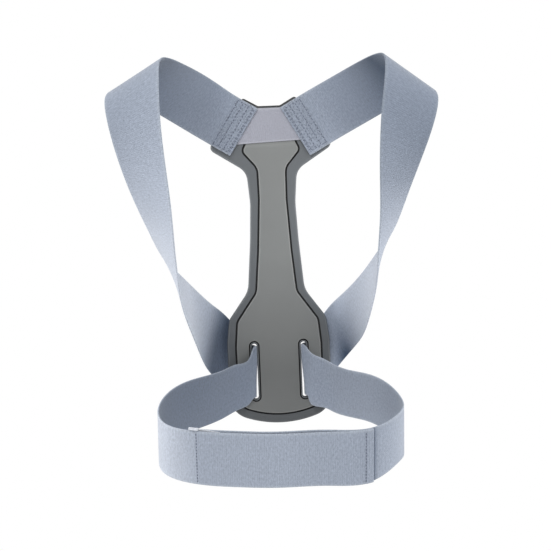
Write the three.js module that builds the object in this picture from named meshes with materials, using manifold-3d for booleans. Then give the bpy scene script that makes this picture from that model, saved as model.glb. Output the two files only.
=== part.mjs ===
// Posture corrector: a stiff back plate with two webbing straps. Each strap is sewn to a wing
// of the plate, loops over a shoulder, passes under the arm behind the plate, comes forward
// through a slot and closes round the waist, the left one over the right one.
// Millimetres. X runs to the viewer's right, Y away from the viewer and Z up. The origin lies
// on the body side of the centre panel, on the plate's centre line.

import * as THREE from 'three';
import { mergeVertices } from 'three/addons/utils/BufferGeometryUtils.js';
import Module from 'manifold-3d';

const wasm = await Module();
wasm.setup();

// Clearance between pieces that touch
const FIT = 0.3;

// Back frame: wall, edge rounding and outline
const FRAME_WALL = 4.0;
const FRAME_BEVEL = 1.2;
const WING_REACH = 56.5;
const WING_TOP = 161.5;
const BASE_HALF = 47;
const BASE_DROP = 136.4;
const BASE_ROUND = 95;
const BASE_CORNER = 22;

// Centre panel: wall, how far it stands proud of the frame, groove round it and inset
const PANEL_WALL = 2.2;
const PANEL_PROUD = 1.2;
const PANEL_BEVEL = 0.7;
const GROOVE = 1.1;
const BORDER = 8.3;
const PANEL_TUCK = 15.6;

// Strap slots with a raised collar; the foot is the plate left below each slot
const SLOT_OUT = 22.5;
const SLOT_FOOT = 23.2;
const SLOT_LONG = 51.4;
const SLOT_WIDE = 4.6;
const COLLAR_RIM = 1.5;
const COLLAR_GAP = 0.7;
const COLLAR_PROUD = 0.3;

// Webbing
const STRAP_WIDE = 50;
const STRAP_THICK = 1.5;
const SEWN_LONG = 20;

// Arm loops: reach to each side and forward, and rise of the shoulder fold over the slot
const LEFT_REACH = 119;
const RIGHT_REACH = 109;
const LOOP_FORE = 134;
const LOOP_RISE = 268;

// Waist loop: reach to each side and forward, drop below the slot, ends of the overlap
const WAIST_LEFT = 108;
const WAIST_RIGHT = 101;
const WAIST_FORE = 136;
const WAIST_DROP = 52;

// Yoke band across the top of the plate: how far it lies below the plate's top edge, its
// height at each side and how far it runs on under the sewn ends
const BAND_THICK = 1.0;
const BAND_BELOW = 2;
const BAND_LONG_LEFT = 32;
const BAND_LONG_RIGHT = 29.4;
const BAND_UNDER = 9;

// Hook patch between the waist layers
const HOOK_THICK = 0.8;
const HOOK_WIDE = 47;
const HOOK_SHOW = 2.2;

// Height of the slots' centres, which follows from the base
const SLOT_UP = SLOT_FOOT + SLOT_LONG / 2 - BASE_DROP;

// Depths that follow from the walls, measured along Y
const FRAME_FRONT = PANEL_PROUD;
const FRAME_BACK = FRAME_FRONT + FRAME_WALL;
const BAND_BACK = FRAME_FRONT - FIT;
const BAND_FRONT = BAND_BACK - BAND_THICK;
const SEWN_DEPTH = BAND_FRONT - FIT - STRAP_THICK / 2;
const BEHIND_DEPTH = FRAME_BACK + FIT + STRAP_THICK / 2;
const LAYER_PITCH = STRAP_THICK + HOOK_THICK + 4 * FIT;

// Frame outline, right half from the top notch down: out is a share of the wing's reach and
// up a share of the wing's height, round is the corner's radius
const FRAME_CORNERS = [
  { out: 0.173, up: 0.951, round: 4 },
  { out: 0.418, up: 1.000, round: 3 },
  { out: 1.000, up: 0.722, round: 6 },
  { out: 0.405, up: 0.589, round: 16 },
  { out: 0.363, up: 0.410, round: 60 },
];

// Heights that follow from the top notch
const NOTCH_TOP = FRAME_CORNERS[0].up * WING_TOP;
const BAND_TOP = NOTCH_TOP - BAND_BELOW;
const PANEL_TOP = BAND_TOP - PANEL_TUCK;

// Frame outline below the waist: out is a share of the base's half width and down a share of
// the base's drop
const HIP_CORNERS = [
  { out: 0.470, down: -0.237, round: 60 },
  { out: 0.550, down: 0.100, round: 24 },
  { out: 0.945, down: 0.290, round: 12 },
  { out: 1.000, down: 0.440, round: 30 },
];

// Panel outline above the waist and below it, by the same rules
const PANEL_CORNERS = [
  { out: 0.340, up: 0.784, round: 12 },
  { out: 0.450, up: 0.703, round: 5 },
  { out: 0.214, up: 0.607, round: 14 },
  { out: 0.208, up: 0.430, round: 60 },
];
const PANEL_HIP_CORNERS = [
  { out: 0.306, down: -0.170, round: 60 },
  { out: 0.380, down: 0.112, round: 14 },
  { out: 0.775, down: 0.305, round: 10 },
  { out: 0.818, down: 0.470, round: 30 },
];

// Sewn ends on the wings: centre of the end as shares of the wing, slope of the webbing above
// level and of its end edge, and the width across it as a share of the webbing's width
const SEWN_ENDS = {
  left: { out: 0.458, up: 0.814, slope: 31, tip: 58, wide: 1.035 },
  right: { out: 0.396, up: 0.807, slope: 30, tip: 59, wide: 1.045 },
};

// Arm loops, a row for each ruling across the webbing: out, fore and up are its centre, as
// shares of the loop's reach, forward reach and rise over the slot; turn (from inward, negative
// toward the viewer) and tip (above level) aim it from the outer to the inner edge; wide is its
// length as a share of the webbing's width
const LEFT_LOOP = [
  { out: 0.535, fore: 0.100, up: 0.900, turn: 22, tip: 53, wide: 1.03 },
  { out: 0.843, fore: 0.530, up: 0.980, turn: 4, tip: 38, wide: 1.01 },
  { out: 0.949, fore: 0.739, up: 0.997, turn: 2, tip: 30, wide: 1.08 },
  { out: 0.997, fore: 0.884, up: 0.981, turn: -1, tip: 33, wide: 1.09 },
  { out: 0.998, fore: 0.974, up: 0.924, turn: -14, tip: 31, wide: 1.05 },
  { out: 0.985, fore: 1.000, up: 0.852, turn: -26, tip: 23, wide: 0.99 },
  { out: 0.894, fore: 0.896, up: 0.612, turn: -54, tip: -1, wide: 1.06 },
  { out: 0.838, fore: 0.761, up: 0.488, turn: -64, tip: -10, wide: 0.99 },
  { out: 0.785, fore: 0.608, up: 0.380, turn: -73, tip: -24, wide: 0.98 },
  { out: 0.726, fore: 0.463, up: 0.314, turn: -82, tip: -36, wide: 0.98 },
  { out: 0.629, fore: 0.269, up: 0.225, turn: -89, tip: -56, wide: 1.04 },
];
const RIGHT_LOOP = [
  { out: 0.554, fore: 0.100, up: 0.898, turn: 26, tip: 57, wide: 1.03 },
  { out: 0.871, fore: 0.530, up: 0.974, turn: 4, tip: 44, wide: 1.00 },
  { out: 0.970, fore: 0.739, up: 0.990, turn: 3, tip: 36, wide: 1.05 },
  { out: 0.998, fore: 0.884, up: 0.971, turn: -1, tip: 37, wide: 1.09 },
  { out: 0.978, fore: 0.970, up: 0.917, turn: -13, tip: 34, wide: 1.07 },
  { out: 0.942, fore: 0.993, up: 0.845, turn: -23, tip: 26, wide: 1.02 },
  { out: 0.862, fore: 0.910, up: 0.662, turn: -55, tip: 6, wide: 1.08 },
  { out: 0.835, fore: 0.784, up: 0.559, turn: -65, tip: -5, wide: 1.02 },
  { out: 0.805, fore: 0.631, up: 0.451, turn: -72, tip: -18, wide: 1.00 },
  { out: 0.772, fore: 0.493, up: 0.369, turn: -81, tip: -28, wide: 1.00 },
  { out: 0.701, fore: 0.328, up: 0.281, turn: -92, tip: -41, wide: 1.05 },
];

// Where each strap dips behind the plate: past is the distance outside the slot as a share of
// the bar between slot and plate edge, dip the centre's height over the slot as a share of the
// slot's length
const BEHIND_ROWS = {
  left: [
    { past: 1.120, dip: 0.410, turn: -162, tip: -79, wide: 1.16 },
    { past: 0.600, dip: 0.190, turn: -170, tip: -84, wide: 1.08 },
    { past: 0.220, dip: 0.040, turn: -175, tip: -88, wide: 1.01 },
  ],
  right: [
    { past: 1.350, dip: 0.650, turn: -168, tip: -70, wide: 1.00 },
    { past: 0.680, dip: 0.270, turn: -170, tip: -80, wide: 1.02 },
    { past: 0.220, dip: 0.050, turn: -175, tip: -87, wide: 1.00 },
  ],
};

// Waist loop from the slot to the side: drop is a share of the waist's drop below the slot
const LEFT_WAIST = [
  { out: 0.251, fore: 0.040, drop: 0.146, turn: 101, tip: -83, wide: 0.87 },
  { out: 0.466, fore: 0.132, drop: 0.315, turn: 94, tip: -70, wide: 1.00 },
  { out: 0.729, fore: 0.294, drop: 0.431, turn: 92, tip: -65, wide: 1.11 },
  { out: 0.925, fore: 0.493, drop: 0.569, turn: 91, tip: -67, wide: 1.09 },
  { out: 1.000, fore: 0.669, drop: 0.750, turn: 93, tip: -68, wide: 1.07 },
  { out: 0.949, fore: 0.827, drop: 0.877, turn: 92, tip: -69, wide: 1.05 },
];
const RIGHT_WAIST = [
  { out: 0.270, fore: 0.040, drop: 0.154, turn: 93, tip: -82, wide: 0.90 },
  { out: 0.472, fore: 0.118, drop: 0.325, turn: 92, tip: -66, wide: 1.00 },
  { out: 0.743, fore: 0.294, drop: 0.462, turn: 95, tip: -60, wide: 1.07 },
  { out: 0.919, fore: 0.478, drop: 0.594, turn: 97, tip: -61, wide: 1.08 },
  { out: 1.000, fore: 0.673, drop: 0.773, turn: 96, tip: -64, wide: 1.06 },
  { out: 0.924, fore: 0.835, drop: 0.829, turn: 98, tip: -65, wide: 1.02 },
];

// Waist front, where the two straps overlap: across is a share of the left waist reach, to the
// viewer's right
const WAIST_FRONT = [
  { across: -0.710, fore: 0.948, drop: 0.935, turn: 90, tip: -72, wide: 1.02 },
  { across: -0.400, fore: 0.985, drop: 0.980, turn: 91, tip: -72, wide: 1.03 },
  { across: -0.090, fore: 1.000, drop: 1.005, turn: 91, tip: -72, wide: 1.03 },
  { across: 0.290, fore: 0.994, drop: 1.005, turn: 89, tip: -72, wide: 1.03 },
  { across: 0.655, fore: 0.966, drop: 0.985, turn: 87, tip: -72, wide: 1.03 },
];

// Longest step along the webbing, steps in a round corner, and rulings beyond a free end that
// only shape the curve up to it
const STEP_LONG = 8;
const GUIDES = 2;
const ARC_STEPS = 5;
const SIDE_SIGN = { left: -1, right: 1 };

function finish(color, roughness) {
  return new THREE.MeshStandardMaterial({ color, roughness, metalness: 0 });
}

const MATERIALS = {
  frame: finish(0x6d7173, 0.6),
  panel: finish(0x828482, 0.55),
  webbing: finish(0x98a3b3, 0.9),
  band: finish(0xa6a8b6, 0.9),
  hook: finish(0xc3c7cf, 0.8),
};

function toRadians(degrees) {
  return (degrees * Math.PI) / 180;
}

// Points of a closed or open polygon whose corners are rounded to their own radius
function roundCorners(corners) {
  const points = [corners[0].at.clone()];
  for (let i = 1; i < corners.length - 1; i += 1) {
    const { at, round } = corners[i];
    const before = corners[i - 1].at.clone().sub(at);
    const after = corners[i + 1].at.clone().sub(at);
    const half = Math.abs(before.angleTo(after)) / 2;
    const room = 0.48 * Math.min(before.length(), after.length());
    const reach = Math.min(round / Math.tan(half), room);
    const start = at.clone().addScaledVector(before.normalize(), reach);
    const end = at.clone().addScaledVector(after.normalize(), reach);
    const curve = new THREE.QuadraticBezierCurve(start, at, end);
    points.push(...curve.getPoints(ARC_STEPS));
  }
  points.push(corners.at(-1).at.clone());
  return points;
}

// Foot of the outline: a wide arc with rounded corners, from the right side to the middle
function footPoints(half, drop, round, corner) {
  const middle = round - drop;
  const out = half - corner;
  const up = middle - Math.sqrt((round - corner) ** 2 - out ** 2);
  const join = Math.atan2(up - middle, out);
  const points = [];
  for (let i = 0; i <= ARC_STEPS; i += 1) {
    const angle = (join * i) / ARC_STEPS;
    points.push(new THREE.Vector2(out + corner * Math.cos(angle), up + corner * Math.sin(angle)));
  }
  for (let i = 1; i <= ARC_STEPS; i += 1) {
    const angle = join + ((-Math.PI / 2 - join) * i) / ARC_STEPS;
    points.push(new THREE.Vector2(round * Math.cos(angle), middle + round * Math.sin(angle)));
  }
  return points;
}

// Whole outline from the right half's corners: the left half is its mirror image
function mirroredOutline(top, upper, hips, foot) {
  const corners = [{ at: new THREE.Vector2(0, top), round: 0 }];
  for (const { out, up, round } of upper) {
    corners.push({ at: new THREE.Vector2(out * WING_REACH, up * WING_TOP), round });
  }
  for (const { out, down, round } of hips) {
    corners.push({ at: new THREE.Vector2(out * BASE_HALF, -down * BASE_DROP), round });
  }
  corners.push({ at: foot[0], round: 0 });
  const right = [...roundCorners(corners), ...foot.slice(1)];
  const left = right.slice(1, -1).reverse().map((p) => new THREE.Vector2(-p.x, p.y));
  return [...right, ...left];
}

// Outline moved outward by a distance, or inward by a negative one
function grown(points, distance) {
  const count = points.length;
  return points.map((point, i) => {
    const before = point.clone().sub(points[(i + count - 1) % count]).normalize();
    const after = points[(i + 1) % count].clone().sub(point).normalize();
    const normal = new THREE.Vector2(-before.y - after.y, before.x + after.x).normalize();
    const miter = Math.max(0.5, normal.dot(new THREE.Vector2(-before.y, before.x)));
    return point.clone().addScaledVector(normal, distance / miter);
  });
}

// Upright slab of an outline between two depths, with both rims bevelled
function slab(points, front, back, bevel = 0) {
  const shape = new THREE.Shape(points);
  const geometry = new THREE.ExtrudeGeometry(shape, {
    depth: back - front - 2 * bevel,
    bevelEnabled: bevel > 0,
    bevelSize: bevel,
    bevelOffset: -bevel,
    bevelThickness: bevel,
    bevelSegments: 2,
    steps: 1,
  });
  return geometry.rotateX(Math.PI / 2).translate(0, back - bevel, 0);
}

// Long hole's outline: straight sides with round ends, standing upright
function stadium(out, up, wide, long) {
  const radius = wide / 2;
  const straight = long / 2 - radius;
  const points = [];
  for (const side of [1, -1]) {
    for (let i = 0; i <= ARC_STEPS; i += 1) {
      const angle = (side > 0 ? 0 : Math.PI) + (Math.PI * i) / ARC_STEPS;
      const y = up + side * straight + radius * Math.sin(angle);
      points.push(new THREE.Vector2(out + radius * Math.cos(angle), y));
    }
  }
  return points;
}

function toSolid(geometry) {
  const bare = new THREE.BufferGeometry();
  bare.setAttribute('position', geometry.getAttribute('position'));
  bare.setIndex(geometry.getIndex());
  const merged = mergeVertices(bare, 1e-4);
  return new wasm.Manifold(new wasm.Mesh({
    numProp: 3,
    vertProperties: new Float32Array(merged.getAttribute('position').array),
    triVerts: new Uint32Array(merged.getIndex().array),
  }));
}

function toGeometry(solid) {
  const { vertProperties, triVerts } = solid.getMesh();
  const geometry = new THREE.BufferGeometry();
  geometry.setAttribute('position', new THREE.BufferAttribute(vertProperties, 3));
  geometry.setIndex(new THREE.BufferAttribute(triVerts, 1));
  return geometry;
}

function panelOutline() {
  const inset = BORDER + GROOVE / 2;
  const foot = footPoints(BASE_HALF - inset, BASE_DROP - inset, BASE_ROUND - inset, BASE_CORNER - inset);
  return mirroredOutline(PANEL_TOP, PANEL_CORNERS, PANEL_HIP_CORNERS, foot);
}

function slotStadium(side, margin) {
  const wide = SLOT_WIDE + 2 * margin;
  return stadium(SIDE_SIGN[side] * SLOT_OUT, SLOT_UP, wide, SLOT_LONG + 2 * margin);
}

// Back frame: bevelled plate with a pocket for the panel and a collar round each slot
function backFrame() {
  const foot = footPoints(BASE_HALF, BASE_DROP, BASE_ROUND, BASE_CORNER);
  const outline = mirroredOutline(NOTCH_TOP, FRAME_CORNERS, HIP_CORNERS, foot);
  const floor = PANEL_WALL + FIT;
  let frame = toSolid(slab(outline, FRAME_FRONT, FRAME_BACK, FRAME_BEVEL));
  frame = frame.subtract(toSolid(slab(grown(panelOutline(), GROOVE), -1, floor)));
  for (const side of ['left', 'right']) {
    const collar = slab(slotStadium(side, COLLAR_RIM), -COLLAR_PROUD, floor + 0.5);
    frame = frame.add(toSolid(collar));
    frame = frame.subtract(toSolid(slab(slotStadium(side, 0), -2, FRAME_BACK + 2)));
  }
  return toGeometry(frame);
}

// Yoke band's corners: its lower edge rises a little to the viewer's right
function bandCorners() {
  const footLeft = BAND_TOP - BAND_LONG_LEFT;
  const footRight = BAND_TOP - BAND_LONG_RIGHT;
  const lowLeft = sewnEdgeAt('left', footLeft);
  const lowRight = sewnEdgeAt('right', footRight);
  const topLeft = sewnEdgeAt('left', BAND_TOP);
  const topRight = sewnEdgeAt('right', BAND_TOP);
  return [
    new THREE.Vector2(topRight + BAND_UNDER, BAND_TOP),
    new THREE.Vector2(lowRight + BAND_UNDER, footRight),
    new THREE.Vector2(lowLeft - BAND_UNDER, footLeft),
    new THREE.Vector2(topLeft - BAND_UNDER, BAND_TOP),
  ];
}

// Place along X of a sewn end's edge at a height
function sewnEdgeAt(side, height) {
  const end = SEWN_ENDS[side];
  const lean = 1 / Math.tan(toRadians(end.tip));
  return SIDE_SIGN[side] * (end.out * WING_REACH - (height - end.up * WING_TOP) * lean);
}

// Centre panel: proud of the frame up to the band, level with it under the band
function centrePanel() {
  let panel = toSolid(slab(panelOutline(), 0, PANEL_WALL, PANEL_BEVEL));
  for (const side of ['left', 'right']) {
    const hole = slab(slotStadium(side, COLLAR_RIM + COLLAR_GAP), -2, PANEL_WALL + 2);
    panel = panel.subtract(toSolid(hole));
  }
  const seat = slab(grown(bandCorners(), FIT), -2, FRAME_FRONT);
  return toGeometry(panel.subtract(toSolid(seat)));
}

function yokeBand() {
  return slab(bandCorners(), BAND_FRONT, BAND_BACK);
}

// One ruling across the webbing: its centre and the half vector to its inner or lower edge
function ruling(side, out, depth, up, turn, tip, wide) {
  const half = (wide * STRAP_WIDE) / 2;
  const level = half * Math.cos(toRadians(tip));
  return {
    centre: new THREE.Vector3(SIDE_SIGN[side] * out, depth, up),
    half: new THREE.Vector3(
      -SIDE_SIGN[side] * level * Math.cos(toRadians(turn)),
      level * Math.sin(toRadians(turn)),
      half * Math.sin(toRadians(tip)),
    ),
  };
}

function sewnRulings(side) {
  const { out, up, slope, tip, wide } = SEWN_ENDS[side];
  return [0, 0.5, 1].map((share) => {
    const along = share * SEWN_LONG;
    const x = out * WING_REACH + along * Math.cos(toRadians(slope));
    const z = up * WING_TOP + along * Math.sin(toRadians(slope));
    return ruling(side, x, SEWN_DEPTH, z, 0, tip, wide);
  });
}

function loopRulings(side) {
  const rows = side === 'left' ? LEFT_LOOP : RIGHT_LOOP;
  const reach = side === 'left' ? LEFT_REACH : RIGHT_REACH;
  return rows.map(({ out, fore, up, turn, tip, wide }) => (
    ruling(side, out * reach, -fore * LOOP_FORE, SLOT_UP + up * LOOP_RISE, turn, tip, wide)
  ));
}

// Run behind the plate's side bar, then round the bar's two rims through the slot
function slotRulings(side) {
  const rim = SLOT_OUT + SLOT_WIDE / 2;
  const bar = BASE_HALF - rim;
  const wide = (SLOT_LONG - SLOT_WIDE * 0.8) / STRAP_WIDE;
  const bend = FIT + STRAP_THICK / 2 + 0.1;
  const rulings = BEHIND_ROWS[side].map(({ past, dip, turn, tip, wide: share }) => {
    const up = SLOT_UP + dip * SLOT_LONG;
    const run = ruling(side, rim + past * bar, BEHIND_DEPTH + FIT, up, turn, tip, share);
    run.centre.y += Math.abs(run.half.y);
    return run;
  });
  for (const angle of [5, 35, 65, 90]) {
    const out = rim - bend * Math.sin(toRadians(angle));
    const depth = FRAME_BACK + bend * Math.cos(toRadians(angle));
    rulings.push(ruling(side, out, depth, SLOT_UP, 180, -90, wide));
  }
  const middle = (FRAME_BACK - COLLAR_PROUD) / 2;
  rulings.push(ruling(side, rim - bend, middle, SLOT_UP, 180, -90, wide));
  for (const angle of [0, 25, 50]) {
    const out = rim - bend * Math.cos(toRadians(angle));
    const depth = -COLLAR_PROUD - bend * Math.sin(toRadians(angle));
    rulings.push(ruling(side, out, depth, SLOT_UP, 180, -90, wide));
  }
  return rulings;
}

// Side of the waist, swollen by the distance to the layer that it belongs to
function waistRulings(side, layer = 0) {
  const rows = side === 'left' ? LEFT_WAIST : RIGHT_WAIST;
  const reach = (side === 'left' ? WAIST_LEFT : WAIST_RIGHT) + layer;
  return rows.map(({ out, fore, drop, turn, tip, wide }) => {
    const depth = -fore * (WAIST_FORE + layer);
    return ruling(side, out * reach, depth, SLOT_UP - drop * WAIST_DROP, turn, tip, wide);
  });
}

// Front of the waist from left to right, in the layer at a distance from the outer one
function frontRulings(layer) {
  return WAIST_FRONT.map(({ across, fore, drop, turn, tip, wide }) => {
    const depth = -fore * (WAIST_FORE + layer);
    const up = SLOT_UP - drop * WAIST_DROP;
    return ruling('right', across * WAIST_LEFT, depth, up, 180 - turn, tip, wide);
  });
}

// Last rulings of the waist's other side, which lead a free end along the layer under or over
function guideRulings(side, layer) {
  return waistRulings(side, layer).slice(-GUIDES);
}

// Natural cubic spline through rows of numbers over their knots
function naturalSpline(knots, rows) {
  const last = knots.length - 1;
  const gap = knots.slice(1).map((knot, i) => knot - knots[i]);
  const bends = rows[0].map((_, k) => {
    const upper = [0];
    const value = [0];
    for (let i = 1; i < last; i += 1) {
      const rise = (rows[i + 1][k] - rows[i][k]) / gap[i] - (rows[i][k] - rows[i - 1][k]) / gap[i - 1];
      const pivot = 2 * (gap[i - 1] + gap[i]) - gap[i - 1] * upper[i - 1];
      upper.push(gap[i] / pivot);
      value.push((6 * rise - gap[i - 1] * value[i - 1]) / pivot);
    }
    const bend = new Array(last + 1).fill(0);
    for (let i = last - 1; i > 0; i -= 1) {
      bend[i] = value[i] - upper[i] * bend[i + 1];
    }
    return bend;
  });
  return (at) => {
    let i = 0;
    while (i < last - 1 && at > knots[i + 1]) {
      i += 1;
    }
    const a = (knots[i + 1] - at) / gap[i];
    const b = 1 - a;
    return bends.map((bend, k) => (
      a * rows[i][k] + b * rows[i + 1][k]
      + (((a ** 3 - a) * bend[i] + (b ** 3 - b) * bend[i + 1]) * gap[i] ** 2) / 6
    ));
  };
}

// Closed webbing solid lofted through its rulings from the first to the last one named, with
// its wall laid half to each side
function webbing(rulings, thick, first, last) {
  const knots = [0];
  for (let i = 1; i < rulings.length; i += 1) {
    knots.push(knots[i - 1] + rulings[i].centre.distanceTo(rulings[i - 1].centre));
  }
  const rows = rulings.map(({ centre, half }) => [...centre.toArray(), ...half.toArray()]);
  const curve = naturalSpline(knots, rows);
  const stations = [knots[first]];
  for (let i = first + 1; i <= last; i += 1) {
    const steps = Math.ceil((knots[i] - knots[i - 1]) / STEP_LONG);
    for (let step = 1; step <= steps; step += 1) {
      stations.push(knots[i - 1] + ((knots[i] - knots[i - 1]) * step) / steps);
    }
  }
  const across = 2;
  const nudge = 0.05;
  const point = (row, s) => new THREE.Vector3(...row.slice(0, 3))
    .addScaledVector(new THREE.Vector3(...row.slice(3)), s);
  const positions = [];
  for (const at of stations) {
    const here = curve(at);
    const before = curve(Math.max(0, at - nudge));
    const after = curve(Math.min(knots.at(-1), at + nudge));
    const cross = new THREE.Vector3(...here.slice(3));
    for (let j = 0; j <= across; j += 1) {
      const s = (2 * j) / across - 1;
      const along = point(after, s).sub(point(before, s));
      const normal = along.cross(cross).normalize();
      const middle = point(here, s);
      positions.push(...middle.clone().addScaledVector(normal, thick / 2).toArray());
      positions.push(...middle.clone().addScaledVector(normal, -thick / 2).toArray());
    }
  }
  return closedStrip(positions, stations.length - 1, across);
}

// Triangles of a strip whose points come as rows of (front, back) pairs
function closedStrip(positions, long, across) {
  const id = (i, j, back) => (i * (across + 1) + j) * 2 + back;
  const index = [];
  const quad = (a, b, c, d) => index.push(a, b, c, a, c, d);
  for (let i = 0; i < long; i += 1) {
    for (let j = 0; j < across; j += 1) {
      quad(id(i, j, 0), id(i + 1, j, 0), id(i + 1, j + 1, 0), id(i, j + 1, 0));
      quad(id(i, j, 1), id(i, j + 1, 1), id(i + 1, j + 1, 1), id(i + 1, j, 1));
    }
    quad(id(i, 0, 0), id(i, 0, 1), id(i + 1, 0, 1), id(i + 1, 0, 0));
    quad(id(i, across, 0), id(i + 1, across, 0), id(i + 1, across, 1), id(i, across, 1));
  }
  for (let j = 0; j < across; j += 1) {
    quad(id(0, j, 0), id(0, j + 1, 0), id(0, j + 1, 1), id(0, j, 1));
    quad(id(long, j, 0), id(long, j, 1), id(long, j + 1, 1), id(long, j + 1, 0));
  }
  const geometry = new THREE.BufferGeometry();
  geometry.setAttribute('position', new THREE.Float32BufferAttribute(positions, 3));
  geometry.setIndex(index);
  return geometry;
}

function leftStrap() {
  const rulings = [
    ...sewnRulings('left'),
    ...loopRulings('left'),
    ...slotRulings('left'),
    ...waistRulings('left'),
    ...frontRulings(0),
    ...guideRulings('right', LAYER_PITCH).reverse(),
  ];
  return webbing(rulings, STRAP_THICK, 0, rulings.length - 1 - GUIDES);
}

function rightStrap() {
  const rulings = [
    ...sewnRulings('right'),
    ...loopRulings('right'),
    ...slotRulings('right'),
    ...waistRulings('right'),
    ...frontRulings(-LAYER_PITCH).reverse(),
    ...guideRulings('left', -LAYER_PITCH).reverse(),
  ];
  return webbing(rulings, STRAP_THICK, 0, rulings.length - 1 - GUIDES);
}

// Hook patch on the inner layer's end, askew so that its outer corner shows over the webbing
function hookPatch() {
  const layer = -LAYER_PITCH / 2;
  const rulings = [...guideRulings('left', layer), ...frontRulings(layer)];
  rulings.forEach(({ centre, half }, i) => {
    const rise = HOOK_SHOW * (1 - 2 * Math.max(0, i - GUIDES));
    centre.addScaledVector(half.clone().normalize(), -rise);
    half.multiplyScalar(HOOK_WIDE / STRAP_WIDE);
  });
  return webbing(rulings, HOOK_THICK, GUIDES, GUIDES + 1);
}

function piece(name, geometry, material) {
  const mesh = new THREE.Mesh(geometry, material);
  mesh.name = name;
  return mesh;
}

const corrector = new THREE.Group();
corrector.add(
  piece('back_frame', backFrame(), MATERIALS.frame),
  piece('centre_panel', centrePanel(), MATERIALS.panel),
  piece('yoke_band', yokeBand(), MATERIALS.band),
  piece('left_strap', leftStrap(), MATERIALS.webbing),
  piece('right_strap', rightStrap(), MATERIALS.webbing),
  piece('hook_patch', hookPatch(), MATERIALS.hook),
);

export default corrector;
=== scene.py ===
"""Posture corrector: a stiff back plate with two elastic webbing straps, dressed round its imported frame.

The classes hold their sizes in millimetres. X runs to the viewer's right, Y away from the viewer and
Z up, and the origin lies on the body side of the centre panel. Meshes are made in metres.
"""

import logging
import math
from dataclasses import dataclass, field
from enum import Enum
from functools import partial
from typing import Callable, Optional

import bmesh
import bpy
import numpy as np
from mathutils import Matrix, Vector
from mathutils.geometry import tessellate_polygon


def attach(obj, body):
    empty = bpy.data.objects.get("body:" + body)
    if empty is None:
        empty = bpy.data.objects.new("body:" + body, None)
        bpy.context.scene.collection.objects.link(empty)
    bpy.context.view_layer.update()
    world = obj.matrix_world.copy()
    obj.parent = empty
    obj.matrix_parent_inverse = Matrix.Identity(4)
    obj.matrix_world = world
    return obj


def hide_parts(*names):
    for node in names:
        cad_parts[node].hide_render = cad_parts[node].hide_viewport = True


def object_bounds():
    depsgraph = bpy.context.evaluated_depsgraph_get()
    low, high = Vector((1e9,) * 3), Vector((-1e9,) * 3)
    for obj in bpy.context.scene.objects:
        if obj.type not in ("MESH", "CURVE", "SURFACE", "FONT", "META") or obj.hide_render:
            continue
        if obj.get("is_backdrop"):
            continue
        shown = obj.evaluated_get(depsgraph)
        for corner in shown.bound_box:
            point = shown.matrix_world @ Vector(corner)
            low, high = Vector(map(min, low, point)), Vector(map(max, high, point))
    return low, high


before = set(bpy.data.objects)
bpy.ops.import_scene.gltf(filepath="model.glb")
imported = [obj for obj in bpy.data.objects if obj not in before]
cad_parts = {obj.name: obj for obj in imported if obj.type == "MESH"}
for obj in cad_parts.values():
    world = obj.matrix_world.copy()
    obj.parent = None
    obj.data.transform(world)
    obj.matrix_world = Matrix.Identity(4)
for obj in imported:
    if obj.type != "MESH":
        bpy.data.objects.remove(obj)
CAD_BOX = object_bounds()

log = logging.getLogger("posture_corrector")

MM = 0.001


class Side(Enum):
    """Side of the wearer's back, as the viewer sees it."""

    LEFT = -1
    RIGHT = 1


# Shared node effects


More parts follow.
